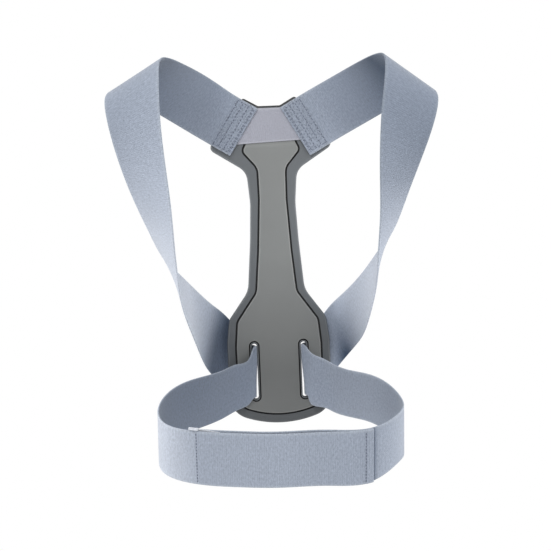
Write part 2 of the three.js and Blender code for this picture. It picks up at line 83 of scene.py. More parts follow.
class Graph:
    """Nodes of one tree, with short ways to add and join them."""

    def __init__(self, tree: bpy.types.NodeTree) -> None:
        """Starts on a node tree."""
        self.tree = tree

    def add(self, kind: str, inputs: Optional[dict] = None, **settings: object) -> bpy.types.Node:
        """Adds a node.

        Args:
            kind: Blender's name for the node's type.
            inputs: Values or sockets for its inputs, by name or number.
            settings: The node's own settings.

        Returns:
            The node.
        """
        node = self.tree.nodes.new(kind)
        for name, value in settings.items():
            setattr(node, name, value)
        for name, value in (inputs or {}).items():
            self.feed(node.inputs[name], value)
        return node

    def feed(self, socket: bpy.types.NodeSocket, value: object) -> None:
        """Fills an input.

        Args:
            socket: The input.
            value: A socket to link to it, or the value that it holds.
        """
        if isinstance(value, bpy.types.NodeSocket):
            self.tree.links.new(value, socket)
        else:
            socket.default_value = value

    def math(self, operation: str, *values: object) -> bpy.types.NodeSocket:
        """Result of a Math node on one, two or three values or sockets."""
        return self.add("ShaderNodeMath", dict(enumerate(values)), operation=operation).outputs[0]

    def swing(self, turn: object) -> bpy.types.NodeSocket:
        """Sine of a turn, brought between 0 and 1."""
        return self.math("MULTIPLY_ADD", self.math("SINE", turn), 0.5, 0.5)

    def mix(self, first: object, share: float, second: object) -> bpy.types.NodeSocket:
        """First value times its share, plus the second times what the share leaves of one."""
        return self.math("MULTIPLY_ADD", first, share, self.math("MULTIPLY", second, 1 - share))

    def blend(self, share: object, first: object, second: object) -> bpy.types.NodeSocket:
        """Mixes two colours.

        Args:
            share: 0 for the first colour, 1 for the second.
            first: The first colour.
            second: The second colour.

        Returns:
            The mixed colour.
        """
        inputs = {"Factor": share, "A": first, "B": second}
        node = self.tree.nodes.new("ShaderNodeMix")
        node.data_type = "RGBA"
        for socket in node.inputs:
            if socket.enabled and socket.name in inputs:
                self.feed(socket, inputs[socket.name])
        return next(socket for socket in node.outputs if socket.enabled)

    def scaled(self, colour: object, factor: object) -> bpy.types.NodeSocket:
        """Colour times a factor."""
        inputs = {"Vector": colour, "Scale": factor}
        return self.add("ShaderNodeVectorMath", inputs, operation="SCALE").outputs[0]

    def noise(self, place: object, scale: object, detail: float = 2.0) -> bpy.types.NodeSocket:
        """Value of a noise pattern at a place, with its scale in features to the metre."""
        inputs = {"Vector": place, "Scale": scale, "Detail": detail}
        return self.add("ShaderNodeTexNoise", inputs).outputs["Fac"]

    def ramp(self, value: object, source: tuple, target: tuple) -> bpy.types.NodeSocket:
        """Value mapped evenly from the source's two limits to the target's, and held beyond."""
        inputs = dict(enumerate((value, *source, *target)))
        return self.add("ShaderNodeMapRange", inputs).outputs[0]

    def bump(self, height: object, depth: float) -> bpy.types.NodeSocket:
        """Normal of a bump from a height, with its depth in millimetres."""
        inputs = {"Strength": 1.0, "Distance": depth * MM, "Height": height}
        return self.add("ShaderNodeBump", inputs).outputs["Normal"]

    def mark(self, name: str) -> bpy.types.NodeSocket:
        """Value of one of the mesh's own marks."""
        return self.add("ShaderNodeAttribute", attribute_name=name).outputs["Fac"]

    def seen(self, others: bpy.types.NodeSocket, camera: bpy.types.NodeSocket) -> bpy.types.NodeSocket:
        """Shader that the camera sees as the second one and all else as the first."""
        ray = self.add("ShaderNodeLightPath").outputs["Is Camera Ray"]
        return self.add("ShaderNodeMixShader", {0: ray, 1: others, 2: camera}).outputs[0]

    def use(self, effect: bpy.types.NodeTree, **inputs: object) -> bpy.types.bpy_prop_collection:
        """Adds a shared effect, fills its inputs and gives its outputs."""
        return self.add("ShaderNodeGroup", inputs, node_tree=effect).outputs

    def enter(self) -> bpy.types.bpy_prop_collection:
        """Sockets that bring the group's inputs in."""
        return self.add("NodeGroupInput").outputs

    def leave(self, **outputs: object) -> bpy.types.NodeTree:
        """Joins the group's outputs and gives its tree."""
        self.add("NodeGroupOutput", outputs)
        return self.tree


@dataclass(frozen=True)
class Port:
    """Input or output of a shared effect."""

    name: str
    kind: str = "NodeSocketFloat"


PLACE = Port("Place", "NodeSocketVector")


def shared_group(name: str, inputs: list[Port], outputs: list[Port]) -> Graph:
    """Makes an empty node group with its ports.

    Args:
        name: The group's name.
        inputs: Its inputs.
        outputs: Its outputs.

    Returns:
        The group's graph.
    """
    tree = bpy.data.node_groups.new(name, "ShaderNodeTree")
    for direction, ports in (("INPUT", inputs), ("OUTPUT", outputs)):
        for port in ports:
            tree.interface.new_socket(port.name, in_out=direction, socket_type=port.kind)
    return Graph(tree)


def paints(*names: str) -> list[Port]:
    """Colour ports of those names."""
    return [Port(name, "NodeSocketColor") for name in names]


def values(*names: str) -> list[Port]:
    """Number ports of those names."""
    return [Port(name) for name in names]


class Effects:
    """Node groups that the finishes share, each built once.

    Scales are in features to the metre, and a share is what the first of two mixed values gets.
    """

    RIB_SHARE = 0.6
    YARN_SHARE = 0.12
    SLUB_SHARE = 0.55
    SLUB_SCALE = 700.0
    SPECK_SCALE = 620.0
    PIT_SHARE = 0.7
    PIT_FINENESS = 4.0
    POLISH_SCALE = 60.0
    FLECK_LIMITS = (0.50, 0.62)

    def __init__(self) -> None:
        """Builds the groups."""
        self.weave = self._weave()
        self.grain = self._grain()
        self.drift = self._drift()
        self.painted_highlight_and_shade = self._painted_highlight_and_shade()
        # Painted shade by height, darker towards the bottom.
        self.height = self._painted_height_shade()
        # Group that paints shade and light along the straps.
        self.fold = self._painted_strap_shading()
        self.fleck = self._fleck()

    def _weave(self) -> bpy.types.NodeTree:
        """Yarn bumps in staggered columns.

        Each bump is half a sine across its column times a whole sine along it, and the next
        column starts half a rib later. Slubs are noise drawn out across the webbing.

        Returns:
            The group, with a height for the bump and a shade for the colour.
        """
        graph = shared_group("woven_yarns", [PLACE, *values("Rib", "Column")], values("Height", "Shade"))
        entry = graph.enter()
        parts = graph.add("ShaderNodeSeparateXYZ", {0: entry["Place"]}).outputs
        column = graph.math("DIVIDE", parts["X"], entry["Column"])
        rib = graph.math("DIVIDE", parts["Y"], entry["Rib"])
        dome = graph.math("ABSOLUTE", graph.math("SINE", graph.math("MULTIPLY", column, math.pi)))
        start = graph.math("MULTIPLY", graph.math("FLOOR", column), math.pi)
        wave = graph.swing(graph.math("MULTIPLY_ADD", rib, 2 * math.pi, start))
        level = graph.swing(graph.math("MULTIPLY", rib, 2 * math.pi))
        height = graph.mix(level, self.RIB_SHARE, graph.math("MULTIPLY", dome, wave))
        half = graph.math("MULTIPLY", parts["X"], 0.5)
        drawn = graph.add("ShaderNodeCombineXYZ", {"X": half, "Y": parts["Y"], "Z": parts["Z"]})
        slub = graph.noise(drawn.outputs[0], self.SLUB_SCALE, 1.0)
        speck = graph.noise(entry["Place"], self.SPECK_SCALE)
        shade = graph.mix(height, self.YARN_SHARE, graph.mix(slub, self.SLUB_SHARE, speck))
        return graph.leave(Height=height, Shade=shade)

    def _grain(self) -> bpy.types.NodeTree:
        """Fine pits of a spark-eroded mould: two noises make the height, and a slow one the polish.

        Returns:
            The group.
        """
        graph = shared_group("moulded_grain", [PLACE, *values("Scale")], values("Height", "Polish"))
        entry = graph.enter()
        coarse = graph.noise(entry["Place"], entry["Scale"], 3.0)
        fine = graph.noise(entry["Place"], graph.math("MULTIPLY", entry["Scale"], self.PIT_FINENESS), 1.0)
        polish = graph.noise(entry["Place"], self.POLISH_SCALE, 3.0)
        return graph.leave(Height=graph.mix(coarse, self.PIT_SHARE, fine), Polish=polish)

    @staticmethod
    def _drift() -> bpy.types.NodeTree:
        """Slow change of shade over the surface: one plus soft noise round zero times an amount.

        Returns:
            The group.
        """
        graph = shared_group("shade_drift", [PLACE, *values("Scale", "Amount")], values("Factor"))
        entry = graph.enter()
        centred = graph.math("SUBTRACT", graph.noise(entry["Place"], entry["Scale"], 3.0), 0.5)
        return graph.leave(Factor=graph.math("MULTIPLY_ADD", centred, entry["Amount"], 1.0))

    @staticmethod
    def _painted_highlight_and_shade() -> bpy.types.NodeTree:
        """Painted highlight and shade: the body's colour goes to a painted highlight on rims, is scaled by
        the shade factor and goes to a painted shade in grooves.

        Returns:
            The group.
        """
        inputs = [*paints("Body", "Worn", "Deep"), *values("Rim", "Groove", "Shade")]
        graph = shared_group("edge_wear", inputs, paints("Colour"))
        entry = graph.enter()
        painted_highlit = graph.blend(entry["Rim"], entry["Body"], entry["Worn"])
        shaded = graph.scaled(painted_highlit, entry["Shade"])
        return graph.leave(Colour=graph.blend(entry["Groove"], shaded, entry["Deep"]))

    @staticmethod
    def _painted_height_shade() -> bpy.types.NodeTree:
        """Painted shade by height: a factor that goes evenly from foot to head between two heights, darker
        towards the bottom.

        Returns:
            The group.
        """
        inputs = [PLACE, *values("Low", "High", "Foot", "Head")]
        graph = shared_group("painted_shade_by_height", inputs, values("Factor"))
        entry = graph.enter()
        up = graph.add("ShaderNodeSeparateXYZ", {0: entry["Place"]}).outputs["Z"]
        source = (entry["Low"], entry["High"])
        return graph.leave(Factor=graph.ramp(up, source, (entry["Foot"], entry["Head"])))

    @staticmethod
    def _painted_strap_shading() -> bpy.types.NodeTree:
        """Painted shade and light: the painted shade colour at a level of 0, the cloth's own colour at 1
        and a painted light colour at 2.

        Returns:
            The group.
        """
        inputs = [*paints("Cloth", "Selvedge", "Deep", "Pale"), *values("Border", "Tone")]
        graph = shared_group("painted_strap_shade_and_light", inputs, paints("Colour"))
        entry = graph.enter()
        cloth = graph.blend(entry["Border"], entry["Cloth"], entry["Selvedge"])
        painted_dark = graph.blend(entry["Tone"], entry["Deep"], cloth)
        over = graph.math("SUBTRACT", entry["Tone"], 1.0)
        return graph.leave(Colour=graph.blend(over, painted_dark, entry["Pale"]))

    def _fleck(self) -> bpy.types.NodeTree:
        """Flecks where sewing puckers the cloth: one less the peaks of a fine noise in a mask.

        Returns:
            The group.
        """
        graph = shared_group("sewn_fleck", [PLACE, *values("Mask", "Amount")], values("Factor"))
        entry = graph.enter()
        noise = graph.noise(entry["Place"], self.SPECK_SCALE, 1.0)
        peaks = graph.ramp(noise, self.FLECK_LIMITS, (0.0, 1.0))
        depth = graph.math("MULTIPLY", graph.math("MULTIPLY", peaks, entry["Amount"]), entry["Mask"])
        return graph.leave(Factor=graph.math("SUBTRACT", 1.0, depth))


Colour = tuple[float, float, float]


def opaque(colour: Colour) -> tuple[float, float, float, float]:
    """Colour with full cover."""
    return (*colour, 1.0)


def blank_material(name: str) -> tuple[bpy.types.Material, Graph, bpy.types.bpy_prop_collection]:
    """Makes a material that is still plain.

    Args:
        name: Its name.

    Returns:
        The material, its graph and its shader's inputs.
    """
    made = bpy.data.materials.new(name)
    made.use_nodes = True
    return made, Graph(made.node_tree), made.node_tree.nodes["Principled BSDF"].inputs


@dataclass(frozen=True)
class PlasticFinish:
    """Matte moulded plastic: fine grain, a slow random drift of colour, a painted highlight on rounded
    edges, painted shade in grooves and a painted shade darker towards the bottom.
    """

    name: str
    body: Colour
    # edge is the painted highlight colour of rounded rims, deep the painted shade colour of grooves.
    edge: Colour
    deep: Colour
    roughness: float = 0.55
    grain: float = 0.06
    grain_scale: float = 1800.0
    # foot and head are the painted shade factors at the low and the high end of the span.
    foot: float = 0.64
    head: float = 1.07
    span: tuple[float, float] = (-0.090, 0.02)
    polish: float = 0.06
    polish_span: tuple[float, float] = (0.3, 0.7)
    drift_scale: float = 30.0
    drift: float = 0.1

    def material(self, effects: Effects) -> bpy.types.Material:
        """Makes the material.

        Args:
            effects: The shared node groups.

        Returns:
            The material.
        """
        made, graph, shader = blank_material(self.name)
        place = graph.add("ShaderNodeTexCoord").outputs["Object"]
        grain = graph.use(effects.grain, Place=place, Scale=self.grain_scale)
        drift = graph.use(effects.drift, Place=place, Scale=self.drift_scale, Amount=self.drift)
        low, high = self.span
        height = graph.use(effects.height, Place=place, Low=low, High=high, Foot=self.foot, Head=self.head)
        # Painted highlight on rims, painted shade in grooves, and painted shade by height.
        painted_highlight_and_shade = graph.use(
            effects.painted_highlight_and_shade,
            Body=opaque(self.body),
            Worn=opaque(self.edge),
            Deep=opaque(self.deep),
            Rim=graph.mark("edge"),
            Groove=graph.mark("deep"),
            Shade=graph.math("MULTIPLY", height["Factor"], drift["Factor"]),
        )
        graph.feed(shader["Base Color"], painted_highlight_and_shade["Colour"])
        limits = (self.roughness - self.polish, self.roughness + self.polish)
        graph.feed(shader["Roughness"], graph.ramp(grain["Polish"], self.polish_span, limits))
        graph.feed(shader["Normal"], graph.bump(grain["Height"], self.grain))
        return made


@dataclass(frozen=True)
class WovenFinish:
    """Woven elastic: ribs and staggered yarns, slubs, selvedges paler by a painted highlight, and painted
    shade and light along its runs.
    """

    name: str
    yarn: Colour
    # shade is the painted shade colour, selvedge the colour of the painted highlight on the edges, pale the
    # painted light colour.
    shade: Colour
    selvedge: Colour
    pale: Colour = (0.78, 0.82, 0.90)
    rib: float = 1.5
    column: float = 1.1
    relief: float = 0.08
    contrast: float = 0.62
    span: tuple[float, float] = (0.2, 0.8)
    sheen: float = 0.25
    sheen_spread: float = 0.5
    roughness: float = 0.85
    fleck: float = 0.36
    drift_scale: float = 30.0
    drift: float = 0.1

    def material(self, effects: Effects) -> bpy.types.Material:
        """Makes the material.

        Args:
            effects: The shared node groups.

        Returns:
            The material.
        """
        made, graph, shader = blank_material(self.name)
        place = graph.add("ShaderNodeUVMap", uv_map="weave").outputs["UV"]
        weave = graph.use(effects.weave, Place=place, Rib=self.rib * MM, Column=self.column * MM)
        drift = graph.use(effects.drift, Place=place, Scale=self.drift_scale, Amount=self.drift)
        fleck = graph.use(effects.fleck, Place=place, Mask=graph.mark("pucker"), Amount=self.fleck)
        # Painted shade and light from the strap's mark, and a painted highlight on the selvedges.
        fold = graph.use(
            effects.fold,
            Cloth=opaque(self.yarn),
            Selvedge=opaque(self.selvedge),
            Deep=opaque(self.shade),
            Pale=opaque(self.pale),
            Border=graph.mark("selvedge"),
            Tone=graph.mark("tone"),
        )
        limits = (1 - self.contrast / 2, 1 + self.contrast / 2)
        woven = graph.ramp(weave["Shade"], self.span, limits)
        factor = graph.math("MULTIPLY", graph.math("MULTIPLY", woven, fleck["Factor"]), drift["Factor"])
        graph.feed(shader["Base Color"], graph.scaled(fold["Colour"], factor))
        shader["Roughness"].default_value = self.roughness
        shader["Sheen Weight"].default_value = self.sheen
        shader["Sheen Roughness"].default_value = self.sheen_spread
        graph.feed(shader["Normal"], graph.bump(weave["Height"], self.relief))
        return made


# Meshes


@dataclass
class MeshDraft:
    """Points and faces of one piece, in millimetres, before it becomes an object."""

    points: np.ndarray
    faces: list
    marks: dict[str, np.ndarray] = field(default_factory=dict)
    weave: Optional[np.ndarray] = None

    def build(self, name: str, material: bpy.types.Material, sharp: float = 40.0) -> bpy.types.Object:
        """Makes the object, with its faces pointing outward and its place in its mesh.

        Args:
            name: The piece's name.
            material: Its finish.
            sharp: Angle in degrees above which an edge stays sharp.

        Returns:
            The object, linked to the scene.
        """
        mesh = bpy.data.meshes.new(name)
        mesh.from_pydata((self.points * MM).tolist(), [], self.faces)
        for mark, values in self.marks.items():
            attribute = mesh.attributes.new(mark, "FLOAT", "POINT")
            attribute.data.foreach_set("value", np.asarray(values, np.float32))
        if self.weave is not None:
            layer = mesh.uv_layers.new(name="weave")
            layer.data.foreach_set("uv", (self.weave * MM).astype(np.float32).ravel())
        face_outward(mesh)
        mesh.materials.append(material)
        mesh.polygons.foreach_set("use_smooth", np.ones(len(mesh.polygons), bool))
        mesh.set_sharp_from_angle(angle=math.radians(sharp))
        made = bpy.data.objects.new(name, mesh)
        bpy.context.scene.collection.objects.link(made)
        return made


def face_outward(mesh: bpy.types.Mesh) -> None:
    """Turns all faces of a closed mesh outward, by recalculating their normals.

    Args:
        mesh: The mesh.
    """
    work = bmesh.new()
    work.from_mesh(mesh)
    bmesh.ops.recalc_face_normals(work, faces=work.faces)
    work.to_mesh(mesh)
    work.free()


# Plate outlines


@dataclass(frozen=True)
class Corner:
    """Corner of an outline: shares of the plate's reach and height, and its radius."""

    out: float
    rise: float
    radius: float


@dataclass(frozen=True)
class PlateSizes:
    """Driving sizes of the back plate and what lies on it."""

    fit: float = 0.3
    frame_wall: float = 4.0
    frame_bevel: float = 1.2
    wing_reach: float = 56.5
    wing_top: float = 161.5
    base_half: float = 47.0
    base_drop: float = 136.4
    base_round: float = 95.0
    base_corner: float = 22.0
    panel_wall: float = 2.2
    panel_proud: float = 1.2
    panel_bevel: float = 0.7
    panel_tuck: float = 15.6
    groove: float = 1.6
    border: float = 8.3
    slot_out: float = 22.5
    slot_foot: float = 23.2
    slot_long: float = 51.4
    slot_wide: float = 4.6
    collar_rim: float = 1.5
    collar_gap: float = 1.0
    collar_proud: float = 0.3
    band_thick: float = 1.0
    band_below: float = 2.0
    band_long_left: float = 32.0
    band_long_right: float = 29.4
    band_under: float = 9.0
    strap_wide: float = 50.0
    strap_thick: float = 1.5
    sewn_long: float = 20.0

    @property
    def slot_up(self) -> float:
        """Height of the slots' centres."""
        return self.slot_foot + self.slot_long / 2 - self.base_drop

    @property
    def frame_front(self) -> float:
        """Depth of the frame's front face."""
        return self.panel_proud

    @property
    def frame_back(self) -> float:
        """Depth of the frame's back face."""
        return self.frame_front + self.frame_wall

    @property
    def pocket_floor(self) -> float:
        """Depth of the floor that the panel lies on."""
        return self.panel_wall + self.fit

    @property
    def notch_top(self) -> float:
        """Height of the frame's top edge between the wings."""
        return FRAME_CORNERS[0].rise * self.wing_top

    @property
    def band_top(self) -> float:
        """Height of the yoke band's top edge."""
        return self.notch_top - self.band_below

    @property
    def band_depth(self) -> float:
        """Depth of the yoke band's middle."""
        return self.frame_front - self.fit - self.band_thick / 2

    @property
    def sewn_depth(self) -> float:
        """Depth of the sewn ends' middle."""
        return self.band_depth - self.band_thick / 2 - self.fit - self.strap_thick / 2

    @property
    def behind_depth(self) -> float:
        """Depth of the straps' runs behind the plate."""
        return self.frame_back + 2 * self.fit + self.strap_thick / 2


FRAME_CORNERS = (
    Corner(0.173, 0.951, 4),
    Corner(0.418, 1.000, 3),
    Corner(1.000, 0.722, 6),
    Corner(0.405, 0.589, 16),
    Corner(0.363, 0.410, 60),
)
HIP_CORNERS = (
    Corner(0.470, 0.237, 60),
    Corner(0.550, -0.100, 24),
    Corner(0.945, -0.290, 12),
    Corner(1.000, -0.440, 30),
)
PANEL_CORNERS = (
    Corner(0.340, 0.784, 12),
    Corner(0.450, 0.703, 5),
    Corner(0.214, 0.607, 14),
    Corner(0.208, 0.430, 60),
)
PANEL_HIP_CORNERS = (
    Corner(0.306, 0.170, 60),
    Corner(0.380, -0.112, 14),
    Corner(0.775, -0.305, 10),
    Corner(0.818, -0.470, 30),
)
ARC_STEPS = 12
MOST_OF_SIDE = 0.48
LEAST_LEAN = 0.5
PLATE = PlateSizes()
WORN_LEAN = math.radians(0.9)
LEAN_FOOT = -50.0


def round_corners(corners: np.ndarray) -> np.ndarray:
    """Rounds the corners of an open polygon.

    Each corner becomes a quadratic curve that leaves both sides at radius / tan(half its angle),
    or at just under half of the shorter side.

    Args:
        corners: Rows of x, z and radius.

    Returns:
        Rows of x and z.
    """
    share = np.linspace(0, 1, ARC_STEPS + 1)[:, None]
    runs = [corners[:1, :2]]
    for before, here, after in zip(corners[:-2], corners[1:-1], corners[2:]):
        back = before[:2] - here[:2]
        ahead = after[:2] - here[:2]
        lengths = np.linalg.norm([back, ahead], axis=1)
        half = math.acos(float(back @ ahead) / float(lengths.prod())) / 2
        reach = min(here[2] / math.tan(half), MOST_OF_SIDE * lengths.min())
        start = here[:2] + back / lengths[0] * reach
        end = here[:2] + ahead / lengths[1] * reach
        runs.append((1 - share) ** 2 * start + 2 * share * (1 - share) * here[:2] + share ** 2 * end)
    runs.append(corners[-1:, :2])
    return np.vstack(runs)


def foot_arc(half: float, drop: float, radius: float, corner: float) -> np.ndarray:
    """Foot of the outline from its right side to the middle: a corner arc, then a wide arc.

    Args:
        half: Half of the foot's width.
        drop: How far its lowest point lies below the origin.
        radius: Radius of the wide arc.
        corner: Radius of the corner arc.

    Returns:
        Rows of x and z.
    """
    middle = radius - drop
    out = half - corner
    up = middle - math.sqrt((radius - corner) ** 2 - out ** 2)
    join = math.atan2(up - middle, out)
    turn = np.linspace(0, join, ARC_STEPS + 1)
    sweep = np.linspace(join, -math.pi / 2, 2 * ARC_STEPS + 1)[1:]
    first = np.column_stack([out + corner * np.cos(turn), up + corner * np.sin(turn)])
    second = np.column_stack([radius * np.cos(sweep), middle + radius * np.sin(sweep)])
    return np.vstack([first, second])


def whole_outline(top: float, upper: tuple, hips: tuple, foot: np.ndarray) -> np.ndarray:
    """Outline of the plate or the panel: the right half from its corners, and its mirror image.

    Args:
        top: Height of the top edge on the centre line.
        upper: Corners above the waist, as shares of the wings.
        hips: Corners below it, as shares of the base.
        foot: Points of the foot, from the right side to the middle.

    Returns:
        Rows of x and z, clockwise from the top.
    """
    rows = [(0.0, top, 0.0)]
    rows += [(c.out * PLATE.wing_reach, c.rise * PLATE.wing_top, c.radius) for c in upper]
    rows += [(c.out * PLATE.base_half, c.rise * PLATE.base_drop, c.radius) for c in hips]
    rows.append((*foot[0], 0.0))
    right = np.vstack([round_corners(np.array(rows)), foot[1:]])
    left = right[-2:0:-1] * np.array([-1.0, 1.0])
    return np.vstack([right, left])


def grown(outline: np.ndarray, distance: float) -> np.ndarray:
    """Moves an outline outward, along the mean normal of the two sides that meet at each point.

    Args:
        outline: Rows of x and z, clockwise.
        distance: How far its sides move.

    Returns:
        Rows of x and z.
    """
    before = outline - np.roll(outline, 1, axis=0)
    before /= np.linalg.norm(before, axis=1, keepdims=True)
    after = np.roll(before, -1, axis=0)
    normal = np.column_stack([-(before + after)[:, 1], (before + after)[:, 0]])
    normal /= np.linalg.norm(normal, axis=1, keepdims=True)
    lean = np.maximum(LEAST_LEAN, -normal[:, 0] * before[:, 1] + normal[:, 1] * before[:, 0])
    return outline + normal * (distance / lean)[:, None]


def frame_outline() -> np.ndarray:
    """Outer outline of the frame."""
    foot = foot_arc(PLATE.base_half, PLATE.base_drop, PLATE.base_round, PLATE.base_corner)
    return whole_outline(PLATE.notch_top, FRAME_CORNERS, HIP_CORNERS, foot)


def panel_outline() -> np.ndarray:
    """Outer outline of the centre panel, inside the frame's outline by the border.

    Returns:
        Rows of x and z.
    """
    inset = PLATE.border + PLATE.groove / 2
    sizes = (PLATE.base_half, PLATE.base_drop, PLATE.base_round, PLATE.base_corner)
    foot = foot_arc(*(size - inset for size in sizes))
    top = PLATE.band_top - PLATE.panel_tuck
    return whole_outline(top, PANEL_CORNERS, PANEL_HIP_CORNERS, foot)


def slot_outline(side: Side, margin: float) -> np.ndarray:
    """Outline of a slot: straight sides with round ends, grown by a margin.

    Args:
        side: Side of the plate.
        margin: How much larger than the slot, all round.

    Returns:
        Rows of x and z.
    """
    radius = PLATE.slot_wide / 2 + margin
    straight = (PLATE.slot_long - PLATE.slot_wide) / 2
    upper = np.linspace(0, math.pi, 2 * ARC_STEPS + 1)
    turn = np.concatenate([upper, upper + math.pi])
    lift = np.repeat([straight, -straight], 2 * ARC_STEPS + 1)
    x = side.value * PLATE.slot_out + radius * np.cos(turn)
    return np.column_stack([x, PLATE.slot_up + lift + radius * np.sin(turn)])


@dataclass
class Shell:
    """Closed shell of rings carried round outlines, with flat faces between rings."""

    rings: list[np.ndarray] = field(default_factory=list)
    faces: list = field(default_factory=list)
    edge: list[np.ndarray] = field(default_factory=list)
    deep: list[np.ndarray] = field(default_factory=list)
    count: int = 0

    def ring(self, outline: np.ndarray, depth: float, edge: float, deep: float) -> np.ndarray:
        """Adds a ring of points at a depth.

        Args:
            outline: Rows of x and z.
            depth: Their y.
            edge: How much painted highlight this ring gets, from 0 to 1.
            deep: How much painted shade it gets, in a groove or a slot, from 0 to 1.

        Returns:
            The numbers of its points.
        """
        size = len(outline)
        self.rings.append(np.column_stack([outline[:, 0], np.full(size, depth), outline[:, 1]]))
        self.edge.append(np.full(size, edge))
        self.deep.append(np.full(size, deep))
        self.count += size
        return np.arange(self.count - size, self.count)

    def carry(self, shape: Callable[[float], np.ndarray], profile: list[tuple]) -> tuple:
        """Carries a profile round an outline, with quads from each ring to the next.

        Args:
            shape: Gives the outline for a distance outward.
            profile: Rows of distance outward, depth, edge and deep.

        Returns:
            The numbers of the first ring's and the last ring's points.
        """
        rings = [self.ring(shape(out), depth, edge, deep) for out, depth, edge, deep in profile]
        for first, second in zip(rings, rings[1:]):
            quads = np.column_stack([first, np.roll(first, -1), np.roll(second, -1), second])
            self.faces += quads.tolist()
        return rings[0], rings[-1]

    def carry_slots(self, profile: list[tuple]) -> tuple:
        """Carries a profile round both slots.

        Args:
            profile: Rows of distance outward, depth, edge and deep.

        Returns:
            The first rings of the two slots, and the last rings.
        """
        rings = [self.carry(partial(slot_outline, side), profile) for side in Side]
        return tuple(zip(*rings))

    def cap(self, *loops: np.ndarray) -> None:
        """Closes the flat region inside the first loop and outside the others with triangles.

        Args:
            loops: Numbers of the points of each loop.
        """
        points = np.vstack(self.rings)
        order = np.concatenate(loops)
        lists = [[Vector((x, z, 0.0)) for x, z in points[loop][:, (0, 2)]] for loop in loops]
        triangles = np.array(tessellate_polygon(lists))
        self.faces += order[triangles].tolist()

    def draft(self) -> MeshDraft:
        """Puts the rings and faces together."""
        marks = {"edge": np.concatenate(self.edge), "deep": np.concatenate(self.deep)}
        return MeshDraft(np.vstack(self.rings), self.faces, marks)


def quarter(radius: float, steps: int = 5) -> np.ndarray:
    """Quarter round: rows of distance across and distance down, from (0, 0) to (radius, radius)."""
    turn = np.linspace(0, math.pi / 2, steps + 1)
    return np.column_stack([radius * np.sin(turn), radius * (1 - np.cos(turn))])


@dataclass(frozen=True)
class BackFrame:
    """Bevelled plate with a pocket for the panel and a collar round each slot, with a painted highlight on
    its rims and painted shade in its grooves and slots.
    """

    support: float = 0.5
    lip: float = 0.3
    lip_painted_highlight: float = 0.6
    collar_lip: float = 0.45
    collar_painted_highlight: float = 0.5
    collar_shade: float = 0.6
    slot_painted_highlight: float = 0.4
    slot_shade: float = 0.5
    shadow_from: float = 149.0
    shadow_fade: float = 2.0
    shadow: float = 0.9

    def rim_profile(self) -> list[tuple]:
        """Outer rim from the front face round to the back face: a quarter round, the side, another.

        Returns:
            Rows of distance outward, depth, edge and deep.
        """
        bevel = PLATE.frame_bevel
        rows = [(-bevel - self.support, PLATE.frame_front, 0.0, 0.0)]
        for across, down in quarter(bevel):
            rows.append((across - bevel, PLATE.frame_front + down, 1.0 - down / bevel / 2, 0.0))
        for across, down in quarter(bevel)[::-1]:
            rows.append((across - bevel, PLATE.frame_back - down, 0.5, 0.0))
        rows.append((-bevel - self.support, PLATE.frame_back, 0.0, 0.0))
        return rows

    def pocket_profile(self) -> list[tuple]:
        """Pocket's wall from the front face down to its floor, with a rounded lip.

        Returns:
            Rows of distance outward, depth, edge and deep.
        """
        rows = [(self.lip + self.support, PLATE.frame_front, 0.0, 0.0)]
        for across, down in quarter(self.lip, 3):
            rows.append((self.lip - across, PLATE.frame_front + down, self.lip_painted_highlight, down / self.lip))
        rows.append((0.0, PLATE.pocket_floor, 0.0, 1.0))
        rows.append((-self.support, PLATE.pocket_floor, 0.0, 1.0))
        return rows

    def collar_profile(self) -> list[tuple]:
        """Collar from the pocket's floor over its round top and down through the slot.

        Returns:
            Rows of distance outward, depth, edge and deep.
        """
        top = -PLATE.collar_proud
        rim = PLATE.collar_rim
        rows = [
            (rim + self.support / 2, PLATE.pocket_floor, 0.0, 1.0),
            (rim, PLATE.pocket_floor, 0.0, 1.0),
        ]
        painted_highlight_and_shade = self.collar_painted_highlight
        lip = self.collar_lip
        for across, down in quarter(lip, 4)[::-1]:
            rows.append((rim - lip + across, top + down, painted_highlight_and_shade, self.collar_shade * down / lip))
        for across, down in quarter(lip, 4):
            rows.append((lip - across, top + down, painted_highlight_and_shade, self.slot_shade * down / lip))
        for across, down in quarter(lip, 4)[::-1]:
            rows.append((lip - across, PLATE.frame_back - down, self.slot_painted_highlight, self.slot_shade))
        rows.append((lip + self.support, PLATE.frame_back, 0.0, 0.0))
        return rows

    def build(self, finish: bpy.types.Material) -> bpy.types.Object:
        """Makes the frame.

        Args:
            finish: Its material.

        Returns:
            The object.
        """
        shell = Shell()
        outline = frame_outline()
        pocket = grown(panel_outline(), PLATE.groove)
        front, back = shell.carry(partial(grown, outline), self.rim_profile())
        mouth, floor = shell.carry(partial(grown, pocket), self.pocket_profile())
        collars, exits = shell.carry_slots(self.collar_profile())
        shell.cap(front, mouth)
        shell.cap(floor, *collars)
        shell.cap(back, *exits)
        draft = shell.draft()
        # Painted shadow along the frame's top edge, added to the painted shade of the rims.
        high = np.clip((draft.points[:, 2] - self.shadow_from) / self.shadow_fade, 0, 1)
        rim = draft.marks["edge"] > self.slot_painted_highlight
        draft.marks["deep"] = np.maximum(draft.marks["deep"], self.shadow * high * rim)
        return draft.build("back_frame_body", finish)


